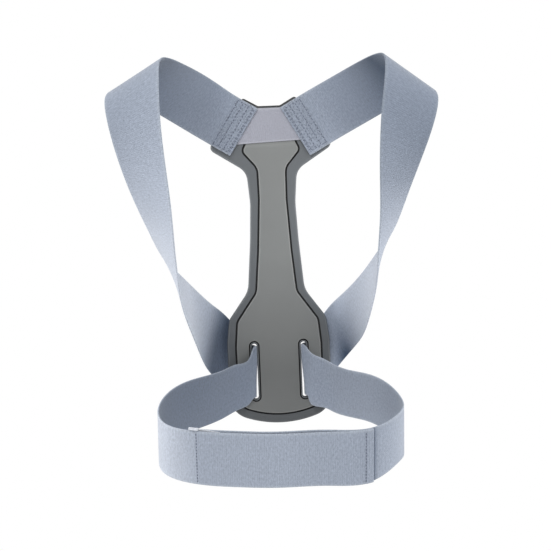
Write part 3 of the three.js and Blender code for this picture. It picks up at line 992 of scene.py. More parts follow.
@dataclass(frozen=True)
class CentrePanel:
    """Panel that lies proud in the frame's pocket, with a hole for each collar, a painted highlight on its
    bevel and painted shade on its sides in the groove.
    """

    support: float = 0.5
    lip: float = 0.3
    seat_over: float = 2.0
    hole_painted_highlight: float = 0.7

    def rim_profile(self) -> list[tuple]:
        """Rim from the front face round to the back face: a quarter round, the side, another.

        Returns:
            Rows of distance outward, depth, edge and deep.
        """
        bevel = PLATE.panel_bevel
        rows = [(-bevel - self.support, 0.0, 0.0, 0.0)]
        for across, down in quarter(bevel):
            rows.append((across - bevel, down, 1.0 - 0.5 * down / bevel, 0.0))
        for across, down in quarter(bevel)[::-1]:
            rows.append((across - bevel, PLATE.panel_wall - down, 0.0, 1.0))
        rows.append((-bevel - self.support, PLATE.panel_wall, 0.0, 0.0))
        return rows

    def hole_profile(self) -> list[tuple]:
        """Wall of a collar's hole from the front face to the back face, with rounded lips.

        Returns:
            Rows of distance outward, depth, edge and deep.
        """
        clear = PLATE.collar_rim + PLATE.collar_gap
        rows = [(clear + self.lip + self.support, 0.0, 0.0, 0.0)]
        for across, down in quarter(self.lip, 3):
            rows.append((clear + self.lip - across, down, self.hole_painted_highlight, down / self.lip))
        for across, down in quarter(self.lip, 3)[::-1]:
            rows.append((clear + self.lip - across, PLATE.panel_wall - down, 0.0, 1.0))
        rows.append((clear + self.lip + self.support, PLATE.panel_wall, 0.0, 0.0))
        return rows

    def seat(self, finish: bpy.types.Material) -> bpy.types.Object:
        """Solid that cuts the panel down to the frame's front where the yoke band lies on it.

        Args:
            finish: The panel's material, for the faces that the cut leaves.

        Returns:
            The solid.
        """
        corners = grown(YokeBand().corners(), PLATE.fit)
        low = np.column_stack([corners[:, 0], np.full(4, -self.seat_over), corners[:, 1]])
        high = np.column_stack([corners[:, 0], np.full(4, PLATE.frame_front), corners[:, 1]])
        around = [[i, (i + 1) % 4, 4 + (i + 1) % 4, 4 + i] for i in range(4)]
        faces = [[0, 1, 2, 3], [7, 6, 5, 4], *around]
        return MeshDraft(np.vstack([low, high]), faces).build("seat_cutter", finish)

    def build(self, finish: bpy.types.Material) -> bpy.types.Object:
        """Makes the panel.

        Args:
            finish: Its material.

        Returns:
            The object.
        """
        shell = Shell()
        outline = panel_outline()
        front, back = shell.carry(partial(grown, outline), self.rim_profile())
        mouths, exits = shell.carry_slots(self.hole_profile())
        shell.cap(front, *mouths)
        shell.cap(back, *exits)
        panel = shell.draft().build("centre_panel_body", finish)
        cutter = self.seat(finish)
        cut = panel.modifiers.new("band_seat", "BOOLEAN")
        cut.operation = "DIFFERENCE"
        cut.solver = "EXACT"
        cut.object = cutter
        apply_modifiers(panel)
        bpy.data.meshes.remove(cutter.data)
        return panel


def apply_modifiers(piece: bpy.types.Object) -> None:
    """Replaces a piece's mesh by what its modifiers make of it, and drops them.

    Args:
        piece: The piece.
    """
    evaluated = piece.evaluated_get(bpy.context.evaluated_depsgraph_get())
    made = bpy.data.meshes.new_from_object(evaluated)
    piece.modifiers.clear()
    piece.data = made


# Webbing


@dataclass
class NaturalSpline:
    """Smooth curve through rows of numbers, straight at both ends.

    Between two knots each number is a cubic, set by the rows at the knots and their second
    slopes. Those solve the usual three-term equations, with none at the ends.
    """

    knots: np.ndarray
    rows: np.ndarray
    bends: np.ndarray = field(init=False)

    def __post_init__(self) -> None:
        """Solves for the second slopes."""
        count = len(self.knots)
        gap = np.diff(self.knots)
        slope = np.diff(self.rows, axis=0) / gap[:, None]
        matrix = np.eye(count)
        inner = np.arange(1, count - 1)
        matrix[inner, inner - 1] = gap[:-1]
        matrix[inner, inner] = 2 * (gap[:-1] + gap[1:])
        matrix[inner, inner + 1] = gap[1:]
        target = np.zeros_like(self.rows)
        target[1:-1] = 6 * np.diff(slope, axis=0)
        self.bends = np.linalg.solve(matrix, target)

    def at(self, places: np.ndarray) -> np.ndarray:
        """Rows at places along the knots.

        Args:
            places: Any shape of places.

        Returns:
            That shape with one more axis, the columns of a row.
        """
        i = np.clip(np.searchsorted(self.knots, places, side="right") - 1, 0, len(self.knots) - 2)
        gap = (self.knots[i + 1] - self.knots[i])[..., None]
        b = (places - self.knots[i])[..., None] / gap
        a = 1 - b
        bend = (a ** 3 - a) * self.bends[i] + (b ** 3 - b) * self.bends[i + 1]
        return a * self.rows[i] + b * self.rows[i + 1] + bend * gap ** 2 / 6


@dataclass(frozen=True)
class Zone:
    """Stretch of the webbing whose stations lie closer together."""

    start: float
    end: float
    pitch: float


@dataclass(frozen=True)
class Spots:
    """Points of a strip's faces: places along it, offsets across it, and sides.

    A side is 1 toward the normal and -1 away from it, and between them round a selvedge.
    """

    places: np.ndarray
    offset: np.ndarray
    side: np.ndarray


Relief = Callable[[Spots], np.ndarray]
# Painted shade and light of a strip's faces: 0 painted shade, 1 the cloth's colour, 2 painted light.
Tone = Callable[[Spots], np.ndarray]


@dataclass(frozen=True)
class Even:
    """Same height or shade all over a strip."""

    level: float

    def __call__(self, spots: Spots) -> np.ndarray:
        """The level at every spot."""
        return np.full_like(spots.places, self.level)


class Webbing:
    """Flat woven strip carried through rulings.

    A ruling is a straight line across the strip, held as its centre and the half of it that
    points to one edge. A point of the middle surface is centre + share * half, with share from
    -1 to 1, and both follow a natural spline over the distance between the centres. The wall
    lies half to each side, along the cross product of the strip's direction and the half.
    """

    STEP = 2.4
    MOST = 6
    NUDGE = 0.02
    ACROSS = 33
    ROUND = 5
    END_STEPS = 5
    THINNEST = 0.12
    SAMPLES = 2000
    BORDER = 2.2
    PUCKER_FADE = 2.0

    def __init__(self, rulings: np.ndarray, thick: float, first: int, last: int) -> None:
        """Fits the curve.

        Args:
            rulings: Rows of centre and half, six numbers each.
            thick: The wall.
            first: Number of the ruling where the strip starts.
            last: Number of the ruling where it ends.
        """
        steps = np.linalg.norm(np.diff(rulings[:, :3], axis=0), axis=1)
        self.knots = np.concatenate([[0.0], np.cumsum(steps)])
        self.curve = NaturalSpline(self.knots, rulings)
        self.thick = thick
        self.pucker = 0.0
        self.start = float(self.knots[first])
        self.end = float(self.knots[last])
        self.first = first
        self.last = last

    def stations(self, zones: list[Zone]) -> np.ndarray:
        """Places of the cross sections, closer together in tight bends, at the ends and in zones.

        Args:
            zones: Stretches with closer stations.

        Returns:
            The places, in order.
        """
        parts = []
        for low, high in zip(self.knots[self.first:self.last], self.knots[self.first + 1:self.last + 1]):
            steps = max(self.MOST, math.ceil((high - low) / self.STEP))
            parts.append(np.linspace(low, high, steps + 1))
        ends = self.thick / 2 * (1 - np.cos(np.linspace(0, math.pi / 2, self.END_STEPS + 1)))
        parts += [self.start + ends, self.end - ends]
        parts += [np.arange(zone.start, zone.end, zone.pitch) for zone in zones]
        places = np.unique(np.round(np.concatenate(parts), 4))
        places = places[(places >= self.start) & (places <= self.end)]
        keep = np.concatenate([[True], np.diff(places) > self.NUDGE])
        keep[-1] = True
        return places[keep]

    def surface(self, places: np.ndarray, offset: np.ndarray) -> tuple[np.ndarray, np.ndarray]:
        """Points of the middle surface and its unit normals.

        Args:
            places: Places along the strip.
            offset: Distances from the centre line toward the ruling's far edge, of the same shape.

        Returns:
            The points and the normals.
        """
        here = self.curve.at(places)
        half = here[..., 3:]
        width = np.linalg.norm(half, axis=-1, keepdims=True)
        share = offset[..., None] / width
        before = self.curve.at(places - self.NUDGE)
        after = self.curve.at(places + self.NUDGE)
        along = (after[..., :3] + share * after[..., 3:]) - (before[..., :3] + share * before[..., 3:])
        normal = np.cross(along, half)
        normal /= np.linalg.norm(normal, axis=-1, keepdims=True)
        return here[..., :3] + share * half, normal

    def half_width(self, places: np.ndarray) -> np.ndarray:
        """Half of the ruling's length at places along the strip."""
        return np.linalg.norm(self.curve.at(places)[..., 3:], axis=-1)

    def length(self) -> float:
        """Length of the strip along its centre line."""
        centre = self.curve.at(np.linspace(self.start, self.end, self.SAMPLES))[:, :3]
        return float(np.linalg.norm(np.diff(centre, axis=0), axis=1).sum())

    def draft(self, zones: list[Zone], relief: Relief, tone: Tone) -> MeshDraft:
        """Closed tube of cross sections with round selvedges.

        A section goes along the front face, round one selvedge, back along the back face and
        round the other. Near an end the wall thins as a quarter circle does.

        Args:
            zones: Stretches with closer stations.
            relief: Height over the face at spots.
            tone: Painted shade and light at spots.

        Returns:
            The mesh.
        """
        places = self.stations(zones)
        radius = self.thick / 2
        flat = np.sin(np.linspace(-math.pi / 2, math.pi / 2, self.ACROSS))
        turn = np.linspace(math.pi / 2, -math.pi / 2, self.ROUND + 2)[1:-1]
        share = np.concatenate([flat, np.ones(self.ROUND), flat[::-1], -np.ones(self.ROUND)])
        push = np.concatenate([flat * 0, np.cos(turn), flat * 0, -np.cos(turn)])
        side = np.concatenate([flat * 0 + 1, np.sin(turn), flat * 0 - 1, -np.sin(turn)])
        half = self.half_width(places)[:, None]
        near = np.minimum(places - self.start, self.end - places)[:, None]
        slim = np.sqrt(np.clip(1 - (1 - np.minimum(near / radius, 1)) ** 2, self.THINNEST, 1))
        offset = share * (half - radius) + push * radius * slim
        where = np.broadcast_to(places[:, None], offset.shape)
        spots = Spots(where, offset, np.broadcast_to(side, offset.shape))
        middle, normal = self.surface(where, offset)
        wall = side * radius * slim + relief(spots) * slim
        points = middle + normal * wall[..., None]
        rows, columns = offset.shape
        centre = self.curve.at(places)[:, :3]
        along = np.concatenate([[0.0], np.cumsum(np.linalg.norm(np.diff(centre, axis=0), axis=1))])
        step = np.linalg.norm(np.diff(np.column_stack([offset[0], side * radius]), axis=0), axis=1)
        around = np.concatenate([[0.0], np.cumsum(step), [np.cumsum(step)[-1] + step[0]]])
        around -= half[0, 0]
        number = np.arange(rows * columns).reshape(rows, columns)
        turned = np.roll(number, -1, axis=1)
        quads = np.stack([number[:-1], turned[:-1], turned[1:], number[1:]], axis=-1).reshape(-1, 4)
        faces = quads.tolist()
        uv = np.stack(np.broadcast_arrays(around[None, :], along[:, None]), axis=-1)
        corners = np.stack([uv[:-1, :-1], uv[:-1, 1:], uv[1:, 1:], uv[1:, :-1]], axis=2).reshape(-1, 2)
        ends = []
        for row in (0, rows - 1):
            front = number[row, :self.ACROSS]
            back = number[row, self.ACROSS + self.ROUND:2 * self.ACROSS + self.ROUND][::-1]
            strip = np.column_stack([front[:-1], front[1:], back[1:], back[:-1]]).tolist()
            far = number[row, self.ACROSS - 1:self.ACROSS + self.ROUND + 1].tolist()
            close = [*number[row, 2 * self.ACROSS + self.ROUND - 1:].tolist(), int(number[row, 0])]
            ends += [*strip, far, close]
        faces += ends
        flat_uv = uv[:, :-1].reshape(-1, 2)
        cap_uv = flat_uv[np.concatenate([np.array(face) for face in ends])]
        # The selvedge mark is a painted highlight along both edges.
        border = 1 - np.clip((half - np.abs(offset)) / self.BORDER, 0, 1)
        marks = {
            "tone": tone(spots).ravel(),
            "selvedge": np.sqrt(border).ravel(),
            "pucker": np.clip((self.start + self.pucker - where) / self.PUCKER_FADE, 0, 1).ravel(),
        }
        return MeshDraft(points.reshape(-1, 3), faces, marks, np.vstack([corners, cap_uv]))


# Rulings of the straps


def leaned(row: np.ndarray) -> np.ndarray:
    """Turns a ruling a little about the level axis through the plate, as the straps hang on it.

    Args:
        row: Centre and half, six numbers.

    Returns:
        The turned centre and half.
    """
    cosine, sine = math.cos(WORN_LEAN), math.sin(WORN_LEAN)
    turned = row.copy()
    up = row[2] - LEAN_FOOT
    turned[0] = row[0] * cosine + up * sine
    turned[2] = up * cosine - row[0] * sine + LEAN_FOOT
    turned[3] = row[3] * cosine + row[5] * sine
    turned[5] = row[5] * cosine - row[3] * sine
    return turned


def ruling(
    side: Side, out: float, depth: float, up: float, turn: float, tip: float, wide: float
) -> np.ndarray:
    """Ruling across the webbing.

    Its half starts along the level line toward the middle, turned about the upright by turn and
    raised by tip.

    Args:
        side: Side of the plate.
        out: Distance of its centre from the plate's centre line.
        depth: Its y.
        up: Its z.
        turn: Turn from inward, in degrees, negative toward the viewer.
        tip: Rise above level, in degrees.
        wide: Its length as a share of the webbing's width.

    Returns:
        Centre and half, six numbers.
    """
    half = wide * PLATE.strap_wide / 2
    level = half * math.cos(math.radians(tip))
    return np.array([
        side.value * out,
        depth,
        up,
        -side.value * level * math.cos(math.radians(turn)),
        level * math.sin(math.radians(turn)),
        half * math.sin(math.radians(tip)),
    ])


@dataclass(frozen=True)
class SewnEnd:
    """Sewn end on a wing: its middle as shares of the wing, its slope, tip and width."""

    out: float
    up: float
    slope: float
    tip: float
    wide: float

    def rulings(self, side: Side) -> list[np.ndarray]:
        """Three rulings along the end, which runs straight up and outward.

        Args:
            side: Side of the plate.

        Returns:
            The rulings, from the foot up.
        """
        made = []
        for along in (0.0, PLATE.sewn_long / 2, PLATE.sewn_long):
            out = self.out * PLATE.wing_reach + along * math.cos(math.radians(self.slope))
            up = self.up * PLATE.wing_top + along * math.sin(math.radians(self.slope))
            made.append(leaned(ruling(side, out, PLATE.sewn_depth, up, 0, self.tip, self.wide)))
        return made

    def edge_at(self, side: Side, height: float) -> float:
        """X of the end's edge at a height."""
        first = self.rulings(side)[0]
        return float(first[0] + (height - first[2]) * first[3] / first[5])


@dataclass(frozen=True)
class Row:
    """Ruling as shares of a loop's sizes: out, fore and up or drop, then turn, tip and width."""

    out: float
    fore: float
    rise: float
    turn: float
    tip: float
    wide: float

    def laid(self, side: Side, reach: float, fore: float, rise: float, lift: float = 0.0) -> np.ndarray:
        """Ruling of this row in a loop, leaned as the straps hang.

        Args:
            side: Side of the plate.
            reach: The loop's size outward.
            fore: Its size toward the viewer.
            rise: Its size upward.
            lift: How much higher the row lies.

        Returns:
            Centre and half, six numbers.
        """
        up = PLATE.slot_up + self.rise * rise + lift
        out = self.out * reach
        return leaned(ruling(side, out, -self.fore * fore, up, self.turn, self.tip, self.wide))


@dataclass(frozen=True)
class Pair:
    """Size that differs between the two sides."""

    left: float
    right: float

    def of(self, side: Side) -> float:
        """Size on one side."""
        return self.left if side is Side.LEFT else self.right


SEWN_ENDS = {
    Side.LEFT: SewnEnd(0.4695, 0.807, 31, 58, 0.985),
    Side.RIGHT: SewnEnd(0.351, 0.804, 30, 59, 1.020),
}
LOOP_ROWS = {
    Side.LEFT: (
        Row(0.535, 0.100, 0.900, 22, 53, 1.03),
        Row(0.843, 0.530, 0.980, 4, 38, 1.01),
        Row(0.949, 0.739, 0.997, 2, 30, 1.08),
        Row(0.997, 0.884, 0.981, -1, 33, 1.09),
        Row(0.998, 0.974, 0.924, -14, 31, 1.05),
        Row(0.985, 1.000, 0.852, -26, 23, 0.99),
        Row(0.894, 0.896, 0.612, -54, -1, 1.06),
        Row(0.838, 0.761, 0.488, -64, -10, 0.99),
        Row(0.785, 0.608, 0.380, -73, -24, 0.98),
        Row(0.729, 0.463, 0.310, -82, -36, 0.98),
        Row(0.635, 0.269, 0.219, -89, -56, 1.06),
        Row(0.548, 0.104, 0.149, -118, -69, 1.04),
    ),
    Side.RIGHT: (
        Row(0.554, 0.100, 0.898, 26, 57, 1.03),
        Row(0.871, 0.530, 0.974, 4, 44, 1.00),
        Row(0.970, 0.739, 0.990, 3, 36, 1.05),
        Row(0.998, 0.884, 0.971, -1, 37, 1.09),
        Row(0.978, 0.970, 0.917, -13, 34, 1.07),
        Row(0.942, 0.993, 0.845, -23, 26, 1.02),
        Row(0.872, 0.910, 0.662, -53, 6, 1.08),
        Row(0.851, 0.784, 0.559, -61, -5, 1.02),
        Row(0.816, 0.631, 0.451, -69, -18, 1.00),
        Row(0.772, 0.493, 0.369, -81, -28, 1.00),
        Row(0.701, 0.328, 0.274, -92, -41, 1.03),
        Row(0.616, 0.133, 0.195, -111, -47, 1.00),
    ),
}
BEHIND_ROWS = {
    Side.LEFT: (
        Row(1.130, 0, 0.390, -162, -79, 1.16),
        Row(0.600, 0, 0.190, -170, -84, 1.08),
        Row(0.220, 0, 0.040, -175, -88, 1.01),
    ),
    Side.RIGHT: (
        Row(1.350, 0, 0.617, -168, -69, 0.94),
        Row(0.680, 0, 0.270, -170, -80, 1.02),
        Row(0.220, 0, 0.050, -175, -87, 1.00),
    ),
}
WAIST_ROWS = {
    Side.LEFT: (
        Row(0.251, 0.040, 0.146, 101, -83, 0.87),
        Row(0.363, 0.085, 0.240, 92, -76, 0.91),
        Row(0.466, 0.132, 0.315, 94, -70, 1.00),
        Row(0.729, 0.294, 0.418, 92, -65, 1.11),
        Row(0.925, 0.493, 0.540, 91, -67, 1.09),
        Row(1.000, 0.669, 0.713, 93, -68, 1.06),
        Row(0.949, 0.827, 0.845, 92, -69, 1.03),
    ),
    Side.RIGHT: (
        Row(0.270, 0.040, 0.110, 93, -82, 0.99),
        Row(0.388, 0.085, 0.211, 93, -77, 0.97),
        Row(0.472, 0.118, 0.288, 92, -66, 1.04),
        Row(0.743, 0.294, 0.385, 95, -60, 1.11),
        Row(0.919, 0.478, 0.514, 97, -61, 1.13),
        Row(1.000, 0.673, 0.722, 96, -64, 1.07),
        Row(0.924, 0.835, 0.808, 98, -65, 1.01),
    ),
}
FRONT_ROWS = (
    Row(-0.710, 0.948, 0.935, 90, -72, 1.02),
    Row(-0.400, 0.985, 0.980, 89, -72, 1.03),
    Row(-0.090, 1.000, 1.005, 89, -72, 1.03),
    Row(0.290, 0.994, 1.005, 91, -72, 1.03),
    Row(0.655, 0.966, 0.985, 93, -72, 1.03),
)


@dataclass(frozen=True)
class LoopSizes:
    """Driving sizes of the arm loops, the waist loop and the patch between its layers."""

    reach: Pair = Pair(119.0, 109.0)
    fore: float = 134.0
    rise: float = 268.0
    waist: Pair = Pair(108.0, 101.0)
    waist_fore: float = 136.0
    waist_drop: float = 52.0
    hook_thick: float = 0.8
    hook_wide: float = 47.0
    hook_show: float = 2.2
    inner_rise: float = 1.2
    guides: int = 2
    slot_end: float = 0.8
    bar_gap: float = 0.1
    bar_turns: tuple = ((5, 1.0), (35, 1.05), (65, 1.2), (90, 1.5))
    mouth_turns: tuple = (0, 25, 50)
    mouth_bend: float = 2.78
    mouth_lean: float = 2.2
    mouth_wide: float = 0.95

    @property
    def layer_pitch(self) -> float:
        """Distance between the two layers at the waist."""
        return PLATE.strap_thick + self.hook_thick + 4 * PLATE.fit

    def arm(self, side: Side) -> list[np.ndarray]:
        """Rulings of an arm loop, from the sewn end to where it dips behind the plate.

        Args:
            side: Side of the plate.

        Returns:
            The rulings in order.
        """
        return [row.laid(side, self.reach.of(side), self.fore, self.rise) for row in LOOP_ROWS[side]]

    def slot(self, side: Side) -> list[np.ndarray]:
        """Rulings behind the plate's side bar and round its two rims through the slot.

        Args:
            side: Side of the plate.

        Returns:
            The rulings in order.
        """
        rim = PLATE.slot_out + PLATE.slot_wide / 2
        bar = PLATE.base_half - rim
        wide = (PLATE.slot_long - PLATE.slot_wide * self.slot_end) / PLATE.strap_wide
        bend = PLATE.fit + PLATE.strap_thick / 2 + self.bar_gap
        made = []
        for row in BEHIND_ROWS[side]:
            up = PLATE.slot_up + row.rise * PLATE.slot_long
            run = ruling(side, rim + row.out * bar, PLATE.behind_depth, up, row.turn, row.tip, row.wide)
            run[1] += abs(run[4])
            made.append(run)
        for angle, far in self.bar_turns:
            out = rim - far * bend * math.sin(math.radians(angle))
            depth = PLATE.frame_back + bend * math.cos(math.radians(angle))
            made.append(ruling(side, out, depth, PLATE.slot_up, 180, -90, wide))
        middle = (PLATE.frame_back - PLATE.collar_proud) / 2
        mean = rim - (bend * self.bar_turns[-1][1] + self.mouth_bend) / 2
        lean = -90 + self.mouth_lean
        made.append(ruling(side, mean, middle, PLATE.slot_up, 180, (lean - 90) / 2, self.mouth_wide))
        for angle in self.mouth_turns:
            out = rim - self.mouth_bend * math.cos(math.radians(angle))
            depth = -PLATE.collar_proud - self.mouth_bend * math.sin(math.radians(angle))
            made.append(ruling(side, out, depth, PLATE.slot_up, 180, lean, self.mouth_wide))
        return made

    def side_run(self, side: Side, layer: float = 0.0) -> list[np.ndarray]:
        """Rulings of the waist's side, swollen by the distance to the layer that it belongs to.

        Args:
            side: Side of the wearer.
            layer: Distance outward from the outer layer's middle.

        Returns:
            The rulings, from the slot forward.
        """
        sizes = (self.waist.of(side) + layer, self.waist_fore + layer, -self.waist_drop)
        return [row.laid(side, *sizes) for row in WAIST_ROWS[side]]

    def front_run(self, layer: float, rise: float = 0.0) -> list[np.ndarray]:
        """Rulings of the waist's front from left to right, in one layer.

        Args:
            layer: Distance outward from the outer layer's middle.
            rise: How much higher it lies than the outer layer, but for its last ruling.

        Returns:
            The rulings in order.
        """
        sizes = (self.waist.left, self.waist_fore + layer, -self.waist_drop)
        lifts = [rise] * (len(FRONT_ROWS) - 1) + [0.0]
        return [row.laid(Side.RIGHT, *sizes, lift) for row, lift in zip(FRONT_ROWS, lifts)]

    def as_far_as_front(self, side: Side) -> list[np.ndarray]:
        """Rulings of a strap from its sewn end to where the waist's front begins."""
        sewn = SEWN_ENDS[side].rulings(side)
        return [*sewn, *self.arm(side), *self.slot(side), *self.side_run(side)]

    def guide(self, side: Side, layer: float) -> list[np.ndarray]:
        """Last rulings of one side of the waist, which lead a free end along its layer."""
        return self.side_run(side, layer)[-self.guides:]


LOOPS = LoopSizes()


# Straps, band and patch


@dataclass(frozen=True)
class Shade:
    """Painted shade and light of both faces at one ruling: 0 for the deepest painted shade, 1 for the
    cloth's own colour, above 1 painted light.
    """

    ruling: float
    body: float
    outer: float


@dataclass(frozen=True)
class StitchRow:
    """Row of stitches between two points of the webbing's face.

    Each point is a distance along the strip from its start and an offset across it. A stitch's
    two ends lean to either side of the row, by the sway times a sine of the stitch's number.
    """

    start: tuple[float, float]
    end: tuple[float, float]
    pitch: float = 3.1
    long: float = 2.1
    sway: float = 0.0
    sway_turn: float = 2.4


@dataclass(frozen=True)
class Seam:
    """Rows of stitches sewn with one thread, and the lift of its middle over the webbing's face."""

    name: str
    rows: list[StitchRow]
    radius: float
    lift: float


@dataclass(frozen=True)
class Thread:
    """Sewing thread, drawn as short stitches that dive into the cloth at both ends."""

    radius: float = 0.30
    sides: int = 6
    rings: int = 5
    thinnest: float = 0.08

    def template(self) -> tuple[np.ndarray, np.ndarray, np.ndarray]:
        """One stitch along X from -0.5 to 0.5, whose radius follows a half ellipse.

        Returns:
            Rows of share along, share across and share up, then the quads and the two end faces.
        """
        along = np.linspace(-0.5, 0.5, self.rings)
        round_off = np.sqrt(np.maximum(self.thinnest, 1 - (2 * along) ** 2))
        turn = np.arange(self.sides) * 2 * math.pi / self.sides
        points = np.stack([
            np.repeat(along[:, None], self.sides, axis=1),
            round_off[:, None] * np.cos(turn),
            round_off[:, None] * np.sin(turn),
        ], axis=-1).reshape(-1, 3)
        number = np.arange(self.rings * self.sides).reshape(self.rings, self.sides)
        turned = np.roll(number, -1, axis=1)
        quads = np.stack([number[:-1], turned[:-1], turned[1:], number[1:]], axis=-1).reshape(-1, 4)
        return points, quads, np.stack([number[0, ::-1], number[-1]])

    def draft(self, strip: Webbing, rows: list[StitchRow], face: float, lift: float) -> MeshDraft:
        """Stitches of all rows as one mesh.

        Args:
            strip: The webbing that they lie on.
            rows: The rows.
            face: 1 for the side of the normal, -1 for the other.
            lift: Height of the thread's middle over the wall's middle.

        Returns:
            The mesh.
        """
        starts = []
        ends = []
        for row in rows:
            first = np.array(row.start)
            last = np.array(row.end)
            run = float(np.linalg.norm(last - first))
            count = max(1, int(run / row.pitch))
            middle = first + (last - first) * ((np.arange(count) + 0.5) / count)[:, None]
            along = (last - first) / run
            lean = row.sway * np.sin(row.sway_turn * np.arange(count))[:, None]
            reach = along * row.long / 2 + lean * np.array([-along[1], along[0]])
            starts.append(middle - reach)
            ends.append(middle + reach)
        low, normal = strip.surface(strip.start + np.vstack(starts)[:, 0], np.vstack(starts)[:, 1])
        high = strip.surface(strip.start + np.vstack(ends)[:, 0], np.vstack(ends)[:, 1])[0]
        outward = normal * face
        axis = high - low
        across = np.cross(axis, outward)
        across /= np.linalg.norm(across, axis=1, keepdims=True)
        centre = (low + high) / 2 + outward * lift
        shape, quads, caps = self.template()
        points = (
            centre[:, None]
            + axis[:, None] * shape[None, :, :1]
            + across[:, None] * shape[None, :, 1:2] * self.radius
            + outward[:, None] * shape[None, :, 2:] * self.radius
        )
        shift = (np.arange(len(centre)) * len(shape))[:, None, None]
        walls = (quads + shift).reshape(-1, 4).tolist()
        ends = (caps + shift).reshape(-1, self.sides).tolist()
        return MeshDraft(points.reshape(-1, 3), walls + ends)


@dataclass(frozen=True)
class ThreadFinish:
    """Twisted polyester sewing thread, darker than the webbing."""

    name: str = "sewing_thread"
    colour: Colour = (0.075, 0.085, 0.125)
    pale: Colour = (0.16, 0.18, 0.24)
    roughness: float = 0.7
    patch_scale: float = 500.0
    patch_span: tuple[float, float] = (0.35, 0.65)
    twist_scale: float = 6000.0
    twist: float = 0.04

    def material(self) -> bpy.types.Material:
        """Makes the material: slow noise between the two colours, and a fine twist as bump.

        Returns:
            The material.
        """
        made, graph, shader = blank_material(self.name)
        place = graph.add("ShaderNodeTexCoord").outputs["Object"]
        patch = graph.ramp(graph.noise(place, self.patch_scale), self.patch_span, (0.0, 1.0))
        graph.feed(shader["Base Color"], graph.blend(patch, opaque(self.colour), opaque(self.pale)))
        shader["Roughness"].default_value = self.roughness
        graph.feed(shader["Normal"], graph.bump(graph.noise(place, self.twist_scale), self.twist))
        return made


def groove(distance: np.ndarray, width: float) -> np.ndarray:
    """Depth from 0 to 1 of a soft groove: a bell curve of the distance over its width."""
    return np.exp(-(distance / width) ** 2)


